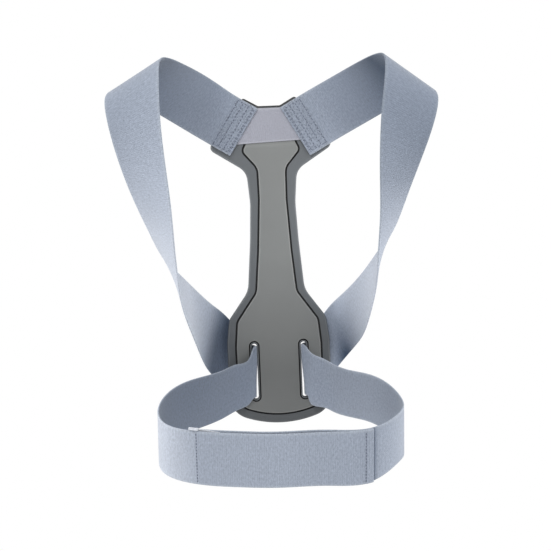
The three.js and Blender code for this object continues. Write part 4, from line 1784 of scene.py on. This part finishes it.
@dataclass
class Strap:
    """One strap: sewn end, arm loop, run behind the plate, slot, and its half of the waist.

    Beside the hip a painted shade darkens its body face toward the lower edge by the hip shade,
    or toward the upper one where that is below 0.
    """

    side: Side
    rulings: list[np.ndarray]
    painted_shades: tuple[Shade, ...]
    hip_painted_shade: float
    hip: int = 15
    hip_reach: float = 12.0
    turn_over: int = 21
    sewn_rows: tuple[float, ...] = (2.2, 3.4, 8.0, 13.4, 18.6)
    edge_row: float = 2.6
    edge_start: float = 3.0
    loose_sway: float = 0.75
    sway: float = 0.25
    sewn_radius: float = 0.30
    sewn_lift: float = 0.02
    sewn_fade: float = 1.5
    stitch_groove: float = 0.55
    pucker: float = 0.2
    swell: float = 0.15
    puff: float = 0.048
    puff_long: float = 0.9
    puff_wide: float = 1.1
    station_pitch: float = 0.35
    mouth: int = 23
    mouth_bow: float = 0.7
    bow_span: tuple[int, ...] = (-2, -1, 1, 3)
    bow_up: float = 0.35
    bow_reach: float = 0.45
    strip: Webbing = field(init=False)

    def __post_init__(self) -> None:
        """Fits the webbing through the rulings, without the guides beyond its free end."""
        last = len(self.rulings) - 1 - LOOPS.guides
        self.strip = Webbing(np.array(self.rulings), PLATE.strap_thick, 0, last)
        self.strip.pucker = PLATE.sewn_long + self.sewn_fade

    @property
    def body_face(self) -> float:
        """Side of the normal that lies toward the body on the arm loop."""
        return float(self.side.value)

    def tone(self, spots: Spots) -> np.ndarray:
        """Painted shade and light of a face: the body face changes sides where the strap turns round the
        bar.

        The painted shade beside the hip is a bell curve of the place times the square of how far
        down the point lies.

        Args:
            spots: Points of the faces.

        Returns:
            The painted shade and light, from 0 to 2.
        """
        knots = self.strip.knots
        at = np.interp([row.ruling for row in self.painted_shades], np.arange(len(knots)), knots)
        body = np.interp(spots.places, at, [row.body for row in self.painted_shades])
        outer = np.interp(spots.places, at, [row.outer for row in self.painted_shades])
        turned = np.where(spots.places < knots[self.turn_over], 1.0, -1.0)
        weight = 0.5 + 0.5 * spots.side * turned * self.body_face
        low = np.clip(0.5 + spots.offset / PLATE.strap_wide, 0, 1) ** 2
        painted_dip = self.hip_painted_shade * low * groove(spots.places - knots[self.hip], self.hip_reach)
        return (body - painted_dip) * weight + outer * (1 - weight)

    def relief(self, spots: Spots) -> np.ndarray:
        """Grooves where the sewn end's stitches pull the cloth in, puffs between them, and the bow.

        Grooves are bell curves round the stitch rows, and puffs a product of two sines.

        Args:
            spots: Points of the faces.

        Returns:
            The height over the face.
        """
        along = spots.places - self.strip.start
        sewn = np.clip((PLATE.sewn_long + 1 - along) / self.sewn_fade, 0, 1)
        inside = PLATE.strap_wide / 2 - self.edge_row - np.abs(spots.offset)
        rows = sum(groove(along - row, self.stitch_groove) for row in self.sewn_rows)
        depth = np.maximum(rows, groove(inside, self.stitch_groove))
        body = np.clip(spots.side * self.body_face, 0, 1)
        puff = self.puff * np.sin(along / self.puff_long) * np.sin(spots.offset / self.puff_wide)
        sewn_relief = spots.side * body * sewn * (self.swell + puff - self.pucker * depth)
        return sewn_relief - self.side.value * self.bow(spots)

    def bow(self, spots: Spots) -> np.ndarray:
        """Shift of the whole wall toward the slot's inner side, most above the webbing's middle.

        A bell curve of the offset times a window that opens in the slot and closes past its mouth.

        Args:
            spots: Points of the faces.

        Returns:
            The shift.
        """
        before, opened, closing, after = self.strip.knots[self.mouth + np.array(self.bow_span)]
        opens = (spots.places - before) / (opened - before)
        closes = (after - spots.places) / (after - closing)
        window = np.clip(np.minimum(opens, closes), 0, 1)
        share = spots.offset / (PLATE.strap_wide / 2)
        return self.mouth_bow * window ** 2 * (3 - 2 * window) * groove(share + self.bow_up, self.bow_reach)

    def seams(self) -> list[Seam]:
        """Sewn end's seam, with rows across the end and one along each selvedge.

        Returns:
            The seams.
        """
        half = PLATE.strap_wide / 2 - self.edge_row
        rows = []
        for row in self.sewn_rows:
            sway = self.loose_sway if row < self.edge_row + 1 else self.sway
            rows.append(StitchRow((row, -half), (row, half), sway=sway))
        for edge in (-half, half):
            rows.append(StitchRow((self.edge_start, edge), (PLATE.sewn_long, edge)))
        return [Seam("sewn", rows, self.sewn_radius, self.sewn_lift)]

    def zones(self) -> list[Zone]:
        """Closer stations over the sewn end."""
        return [Zone(self.strip.start, self.strip.start + PLATE.sewn_long + 2, self.station_pitch)]

    def build(self, cloth: bpy.types.Material, thread: bpy.types.Material) -> bpy.types.Object:
        """Makes the strap and its stitches.

        Args:
            cloth: The webbing's material.
            thread: The thread's material.

        Returns:
            The strap.
        """
        name = f"{self.side.name.lower()}_strap"
        webbing = self.strip.draft(self.zones(), self.relief, self.tone).build(f"{name}_webbing", cloth)
        settle(webbing, "webbing", name)
        stitches = [
            settle(self.sew(seam).build(f"{name}_{seam.name}_stitches", thread), "webbing")
            for seam in self.seams()
        ]
        size = (PLATE.strap_wide * MM, self.strip.length() * MM)
        log.info("%s: %.1f mm of webbing", name, self.strip.length())
        return webbing

    def sew(self, seam: Seam) -> MeshDraft:
        """Stitches of one seam on the body face."""
        lift = PLATE.strap_thick / 2 + seam.lift
        return Thread(seam.radius).draft(self.strip, seam.rows, self.body_face, lift)


class LeftStrap(Strap):
    """Strap whose hemmed end closes over the other one at the waist's front."""

    HEM = 7.8
    HEM_ROW = 6.8
    HEM_RISE = 0.45
    HEM_LAYER = 0.6
    HEM_EDGE = 0.8
    HEM_GROOVE = (0.4, 0.45)
    SEAM_AFTER = 0.8
    SEAM_RULING = 33
    SEAM_GROOVE = (0.3, 0.5)
    SEAM_RADIUS = 0.34
    SEAM_PITCH = 2.9
    SEAM_LONG = 1.9
    HEM_LONG = 2.2
    INSET = 1.2
    AROUND = 2.0
    STATION_PITCH = 0.3

    def __init__(self) -> None:
        """Lays the rulings in order, the front ones in the outer layer."""
        rulings = [
            *LOOPS.as_far_as_front(Side.LEFT),
            *LOOPS.front_run(0.0),
            *LOOPS.guide(Side.RIGHT, LOOPS.layer_pitch)[::-1],
        ]
        # Painted shade and light along the strap: ruling, body face and outer face.
        painted_shades = (
            Shade(0, 0.98, 0.90),
            Shade(2, 0.80, 0.90),
            Shade(3, 0.60, 0.90),
            Shade(3.7, 0.41, 0.90),
            Shade(5, 0.17, 0.80),
            Shade(7, 0.35, 0.80),
            Shade(8, 0.60, 0.84),
            Shade(9, 0.80, 1.02),
            Shade(10, 1.00, 1.19),
            Shade(11, 1.30, 1.32),
            Shade(12.7, 1.48, 1.10),
            Shade(13.4, 1.24, 0.90),
            Shade(14, 1.02, 0.80),
            Shade(14.6, 0.27, 0.70),
            Shade(15, 0.18, 0.70),
            Shade(21, 0.60, 0.70),
            Shade(26, 0.56, 0.90),
            Shade(29, 0.41, 1.00),
            Shade(30, 0.35, 1.10),
            Shade(31, 0.33, 1.20),
            Shade(32, 0.40, 1.30),
            Shade(32.6, 0.43, 1.20),
            Shade(33, 0.45, 1.06),
            Shade(33.1, 0.45, 0.94),
            Shade(35, 0.60, 0.93),
            Shade(37, 0.70, 0.83),
        )
        super().__init__(Side.LEFT, rulings, painted_shades, hip_painted_shade=-0.25)

    @property
    def seam_place(self) -> float:
        """Place of the seam across the front."""
        return float(self.strip.knots[self.SEAM_RULING]) + self.SEAM_AFTER

    def relief(self, spots: Spots) -> np.ndarray:
        """Sewn end's relief, the seam on the front, and the hem's second layer at the free end.

        Args:
            spots: Points of the faces.

        Returns:
            The height over the face.
        """
        outer = np.clip(spots.side * self.body_face, 0, 1)
        left = self.strip.end - spots.places
        seam_deep, seam_wide = self.SEAM_GROOVE
        hem_deep, hem_wide = self.HEM_GROOVE
        hem = np.clip((self.HEM - left) / self.HEM_EDGE, 0, 1) * self.HEM_LAYER
        hem -= hem_deep * groove(left - self.HEM_ROW, hem_wide)
        seam = seam_deep * groove(spots.places - self.seam_place, seam_wide)
        return super().relief(spots) + spots.side * outer * (hem - seam)

    def zones(self) -> list[Zone]:
        """Closer stations over the sewn end, the seam and the hem.

        Returns:
            The zones.
        """
        seam, end = self.seam_place, self.strip.end
        return [
            *super().zones(),
            Zone(seam - self.AROUND, seam + self.AROUND, self.STATION_PITCH),
            Zone(end - self.HEM - self.AROUND, end, self.STATION_PITCH),
        ]

    def seams(self) -> list[Seam]:
        """Sewn end's seam, the one across the front, and the hem's.

        Returns:
            The seams.
        """
        half = PLATE.strap_wide / 2 - self.INSET
        made = super().seams()
        rows = (
            ("seam", self.seam_place, self.SEAM_LONG, 0.0),
            ("hem", self.strip.end - self.HEM_ROW, self.HEM_LONG, self.HEM_RISE),
        )
        for name, place, long, lift in rows:
            along = place - self.strip.start
            row = StitchRow((along, -half), (along, half), self.SEAM_PITCH, long)
            made.append(Seam(name, [row], self.SEAM_RADIUS, lift))
        return made


class RightStrap(Strap):
    """Strap whose end lies under the other one at the waist's front."""

    COVER_RULING = 33
    COVER_AHEAD = 0.5
    COVER_PAINTED_SHADOW = 0.75
    COVER_REACH = 1.4

    def __init__(self) -> None:
        """Lays the rulings in order, the front ones in the inner layer."""
        rulings = [
            *LOOPS.as_far_as_front(Side.RIGHT),
            *LOOPS.front_run(-LOOPS.layer_pitch, LOOPS.inner_rise)[::-1],
            *LOOPS.guide(Side.LEFT, -LOOPS.layer_pitch)[::-1],
        ]
        # Painted shade and light along the strap: ruling, body face and outer face.
        painted_shades = (
            Shade(0, 1.00, 0.90),
            Shade(2.3, 0.90, 0.90),
            Shade(3, 0.68, 0.85),
            Shade(3.6, 0.37, 0.80),
            Shade(4.2, 0.05, 0.62),
            Shade(6, 0.25, 0.56),
            Shade(8, 0.50, 0.54),
            Shade(9, 0.80, 0.54),
            Shade(10, 1.00, 0.74),
            Shade(11, 1.20, 1.02),
            Shade(12.7, 1.38, 1.20),
            Shade(13.4, 1.26, 1.00),
            Shade(14, 1.14, 0.80),
            Shade(14.6, 0.97, 0.70),
            Shade(15, 0.95, 0.70),
            Shade(21, 0.75, 0.80),
            Shade(26, 0.84, 0.90),
            Shade(29, 0.85, 0.95),
            Shade(30, 0.66, 0.90),
            Shade(31, 0.56, 0.85),
            Shade(32, 0.60, 0.84),
            Shade(33, 0.65, 0.86),
            Shade(37, 0.70, 0.90),
        )
        super().__init__(Side.RIGHT, rulings, painted_shades, hip_painted_shade=1.0)

    def tone(self, spots: Spots) -> np.ndarray:
        """Painted shade and light of a face, with a painted shadow in a narrow band beside the other
        strap's end.

        Args:
            spots: Points of the faces.

        Returns:
            The painted shade and light, from 0 to 2.
        """
        edge = self.strip.knots[self.COVER_RULING] - self.COVER_AHEAD
        outer = np.clip(spots.side * self.body_face, 0, 1)
        # Painted shadow that the other strap's end casts on the outer face.
        band = self.COVER_PAINTED_SHADOW * outer * groove(spots.places - edge, self.COVER_REACH)
        return super().tone(spots) - band


@dataclass(frozen=True)
class YokeBand:
    """Flat band across the top of the plate, whose ends lie under the sewn ends."""

    fold: float = 4.0
    fold_deep: float = 0.22
    fold_wide: float = 0.6
    hem: float = 1.6
    hem_deep: float = 0.25
    hem_wide: float = 0.45

    def corners(self) -> np.ndarray:
        """Corners of the band, whose lower edge rises to the viewer's right.

        Returns:
            Rows of x and z from the top right, clockwise.
        """
        top = PLATE.band_top
        rows = [
            (Side.RIGHT, top),
            (Side.RIGHT, top - PLATE.band_long_right),
            (Side.LEFT, top - PLATE.band_long_left),
            (Side.LEFT, top),
        ]
        return np.array([
            (SEWN_ENDS[side].edge_at(side, height) + side.value * PLATE.band_under, height)
            for side, height in rows
        ])

    def relief(self, spots: Spots) -> np.ndarray:
        """Fold line below the top edge and hem line over the lower edge, as soft grooves.

        Args:
            spots: Points of the faces.

        Returns:
            The height over the face.
        """
        half = self.strip.half_width(spots.places)
        front = np.clip(spots.side, 0, 1)
        fold = self.fold_deep * groove(half - spots.offset - self.fold, self.fold_wide)
        hem = self.hem_deep * groove(half + spots.offset - self.hem, self.hem_wide)
        return spots.side * front * (-fold - hem)

    @property
    def strip(self) -> Webbing:
        """Band as webbing through three rulings, from its left end to its right end.

        Returns:
            The strip.
        """
        corners = self.corners()
        ends = []
        for low, high in ((corners[2], corners[3]), (corners[1], corners[0])):
            centre = (low + high) / 2
            half = (high - low) / 2
            ends.append(np.array([centre[0], PLATE.band_depth, centre[1], half[0], 0.0, half[1]]))
        return Webbing(np.array([ends[0], (ends[0] + ends[1]) / 2, ends[1]]), PLATE.band_thick, 0, 2)

    def build(self, cloth: bpy.types.Material) -> bpy.types.Object:
        """Makes the band.

        Args:
            cloth: Its material.

        Returns:
            The object.
        """
        strip = self.strip
        band = strip.draft([], self.relief, Even(1.0)).build("yoke_band_cloth", cloth)
        settle(band, "band", "yoke_band")
        corners = self.corners()
        wide = 2 * float(strip.half_width(np.array([strip.start, strip.end])).max())
        long = strip.length()
        log.info("yoke_band: %.1f by %.1f mm", wide, long)
        return band


@dataclass(frozen=True)
class HookPatch:
    """Hook tape on the inner layer's end, askew so that its outer corner shows."""

    tab_wide: float = 8.0
    tab_back: float = 2.0
    tab_painted_light: float = 1.3
    tab_path: tuple = ((-4.0, -1.5), (-1.0, -1.5), (1.2, -1.2), (2.5, -0.1), (2.5, 1.3), (1.4, 2.2))

    def tab(self, cloth: bpy.types.Material) -> bpy.types.Object:
        """Corner of the tape that curls forward over the outer layer's top edge.

        Its rulings lie level along the waist, and step along a path of heights over that edge
        and distances in front of the outer layer's middle.

        Args:
            cloth: Its material.

        Returns:
            The object.
        """
        strap = LeftStrap()
        seam = strap.seam_place - self.tab_back
        places = np.array([seam - 1, seam, seam + 1])
        edge, normal = strap.strip.surface(places, -strap.strip.half_width(places))
        along = edge[2] - edge[0]
        along *= self.tab_wide / 2 / np.linalg.norm(along)
        half = strap.strip.curve.at(places[1])[3:]
        up = -half / np.linalg.norm(half)
        front = normal[1] * strap.body_face
        centres = [edge[1] + up * rise + front * ahead for rise, ahead in self.tab_path]
        rows = np.array([np.concatenate([centre, along]) for centre in centres])
        strip = Webbing(rows, LOOPS.hook_thick, 0, len(rows) - 1)
        # Painted light: the tab's level above 1 lifts its cloth toward the pale colour.
        tab = strip.draft([], Even(0.0), Even(self.tab_painted_light)).build("hook_patch_tab", cloth)
        return settle(tab, "hook")

    def build(self, cloth: bpy.types.Material) -> bpy.types.Object:
        """Makes the patch.

        Args:
            cloth: Its material.

        Returns:
            The object.
        """
        layer = -LOOPS.layer_pitch / 2
        rulings = [*LOOPS.guide(Side.LEFT, layer), *LOOPS.front_run(layer, LOOPS.inner_rise)]
        for i, row in enumerate(rulings):
            rise = LOOPS.hook_show * (1 - 2 * max(0, i - LOOPS.guides))
            row[:3] -= rise * row[3:] / np.linalg.norm(row[3:])
            row[3:] *= LOOPS.hook_wide / PLATE.strap_wide
        strip = Webbing(np.array(rulings), LOOPS.hook_thick, LOOPS.guides, LOOPS.guides + 1)
        patch = strip.draft([], Even(0.0), Even(1.0)).build("hook_patch_tape", cloth)
        settle(patch, "hook", "hook_patch")
        tab = self.tab(cloth)
        size = (LOOPS.hook_wide * MM, strip.length() * MM)
        log.info("hook_patch: %.1f by %.1f mm", LOOPS.hook_wide, strip.length())
        return patch


def settle(piece: bpy.types.Object, slot: str, *nodes: str) -> bpy.types.Object:
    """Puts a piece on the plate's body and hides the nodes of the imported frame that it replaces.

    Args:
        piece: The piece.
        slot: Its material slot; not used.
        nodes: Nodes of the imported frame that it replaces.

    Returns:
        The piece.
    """
    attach(piece, "root")
    if nodes:
        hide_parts(*nodes)
    log.info("made %s with %d faces", piece.name, len(piece.data.polygons))
    return piece


# Studio


@dataclass(frozen=True)
class SoftBox:
    """Square area light, aimed at the object."""

    name: str
    place: tuple[float, float, float]
    size: float
    power: float

    def build(self) -> None:
        """Adds the light."""
        data = bpy.data.lights.new(self.name, "AREA")
        data.shape = "SQUARE"
        data.size = self.size
        data.energy = self.power
        light = bpy.data.objects.new(self.name, data)
        light.visible_camera = False
        light.location = self.place
        light.rotation_mode = "QUATERNION"
        light.rotation_quaternion = (-Vector(self.place)).to_track_quat("-Z", "Y")
        bpy.context.scene.collection.objects.link(light)


SOFT_BOXES = (
    SoftBox("key", (-0.5, -1.3, 1.3), 1.1, 15.0),
    SoftBox("fill", (1.3, -1.1, 0.5), 1.2, 7.0),
    SoftBox("left_wall", (-1.5, 0.3, 0.25), 1.1, 13.0),
    SoftBox("right_wall", (1.5, 0.3, 0.25), 1.1, 13.0),
)


@dataclass(frozen=True)
class Studio:
    """Pale floor, white surround, soft boxes and the camera at the photograph's angle."""

    azimuth: float = -2.5
    elevation: float = 6.0
    roll: float = -2.35
    distance: float = 1.3
    aim: tuple[float, float, float] = (-0.0004, 0.0, 0.0)
    lens: float = 93.34
    sensor: float = 36.0
    floor_drop: float = 0.42
    floor_reach: float = 9.0
    floor_sides: int = 96
    paper: float = 0.8
    paper_roughness: float = 0.9
    surround: float = 0.55

    def camera(self) -> None:
        """Camera on a sphere round the aim: azimuth from straight ahead, elevation, then roll."""
        a = math.radians(self.azimuth)
        e = math.radians(self.elevation)
        r = math.radians(self.roll)
        back = Vector((math.sin(a) * math.cos(e), -math.cos(a) * math.cos(e), math.sin(e)))
        level = Vector((math.cos(a), math.sin(a), 0.0))
        up = back.cross(level)
        right = level * math.cos(r) + up * math.sin(r)
        above = up * math.cos(r) - level * math.sin(r)
        data = bpy.data.cameras.new("camera")
        data.lens = self.lens
        data.sensor_width = self.sensor
        eye = bpy.data.objects.new("camera", data)
        turn = Matrix((right, above, back)).transposed().to_4x4()
        eye.matrix_world = Matrix.Translation(Vector(self.aim) + back * self.distance) @ turn
        bpy.context.scene.collection.objects.link(eye)
        bpy.context.scene.camera = eye

    def floor(self) -> None:
        """Round pale floor. The camera sees it bright, and its bounce is that of pale paper."""
        turn = np.linspace(0, 2 * math.pi, self.floor_sides + 1)[:-1]
        rim = np.column_stack([np.cos(turn), np.sin(turn), 0 * turn]) * self.floor_reach
        rim[:, 2] = -self.floor_drop
        mesh = bpy.data.meshes.new("floor")
        mesh.from_pydata(rim.tolist(), [], [list(range(len(rim)))])
        made = bpy.data.materials.new("pale_floor")
        made.use_nodes = True
        graph = Graph(made.node_tree)
        shader = made.node_tree.nodes["Principled BSDF"]
        shader.inputs["Base Color"].default_value = opaque((self.paper,) * 3)
        shader.inputs["Roughness"].default_value = self.paper_roughness
        lift = graph.add("ShaderNodeEmission", {"Color": (1, 1, 1, 1), "Strength": 1.0})
        output = made.node_tree.nodes["Material Output"]
        graph.feed(output.inputs["Surface"], graph.seen(shader.outputs[0], lift.outputs[0]))
        mesh.materials.append(made)
        plane = bpy.data.objects.new("floor", mesh)
        bpy.context.scene.collection.objects.link(plane)
        plane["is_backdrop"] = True

    def world(self) -> None:
        """White surround, softer as a light than as a background."""
        made = bpy.data.worlds.new("studio")
        made.use_nodes = True
        graph = Graph(made.node_tree)
        soft = made.node_tree.nodes["Background"]
        soft.inputs["Color"].default_value = (1, 1, 1, 1)
        soft.inputs["Strength"].default_value = self.surround
        white = graph.add("ShaderNodeBackground", {"Color": (1, 1, 1, 1), "Strength": 1.0})
        output = made.node_tree.nodes["World Output"]
        graph.feed(output.inputs["Surface"], graph.seen(soft.outputs[0], white.outputs[0]))
        bpy.context.scene.world = made

    def build(self) -> None:
        """Sets the camera, floor, surround and lights."""
        self.camera()
        self.floor()
        self.world()
        for box in SOFT_BOXES:
            box.build()
        bpy.context.scene.view_settings.view_transform = "Standard"
        log.info("studio is set")


# Finishes of this part


# edge colours are painted highlights, deep colours painted shade, and foot the painted shade at the bottom.
FRAME_PLASTIC = PlasticFinish(
    "frame_plastic",
    body=(0.150, 0.161, 0.170),
    edge=(0.190, 0.202, 0.212),
    deep=(0.006, 0.006, 0.007),
    foot=0.58,
)
PANEL_PLASTIC = PlasticFinish(
    "panel_plastic",
    body=(0.250, 0.257, 0.251),
    edge=(0.330, 0.335, 0.325),
    deep=(0.006, 0.006, 0.007),
)
# For the cloths, shade is the painted shade colour and selvedge the painted highlight colour of the edges.
STRAP_CLOTH = WovenFinish(
    "strap_webbing",
    yarn=(0.362, 0.406, 0.490),
    shade=(0.010, 0.036, 0.082),
    selvedge=(0.430, 0.475, 0.550),
)
BAND_CLOTH = WovenFinish(
    "band_cloth",
    yarn=(0.420, 0.425, 0.485),
    shade=(0.060, 0.060, 0.080),
    selvedge=(0.500, 0.505, 0.560),
    contrast=0.25,
)
HOOK_TAPE = WovenFinish(
    "hook_tape",
    yarn=(0.550, 0.570, 0.620),
    shade=(0.100, 0.100, 0.120),
    selvedge=(0.600, 0.620, 0.660),
    rib=0.9,
    column=0.9,
)


def main() -> None:
    """Builds the pieces in order."""
    logging.basicConfig(level=logging.INFO, format="%(name)s: %(message)s")
    Studio().build()
    effects = Effects()
    plate = BackFrame().build(FRAME_PLASTIC.material(effects))
    settle(plate, "frame", "back_frame")
    panel = CentrePanel().build(PANEL_PLASTIC.material(effects))
    settle(panel, "panel", "centre_panel")
    YokeBand().build(BAND_CLOTH.material(effects))
    webbing = STRAP_CLOTH.material(effects)
    thread = ThreadFinish().material()
    for strap in (LeftStrap(), RightStrap()):
        strap.build(webbing, thread)
    HookPatch().build(HOOK_TAPE.material(effects))
    boxes = {"cad": CAD_BOX, "visual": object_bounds()}
    boxes = {name: [list(corner) for corner in box] for name, box in boxes.items()}
    log.info("boxes written")


if __name__ == "__main__":
    main()
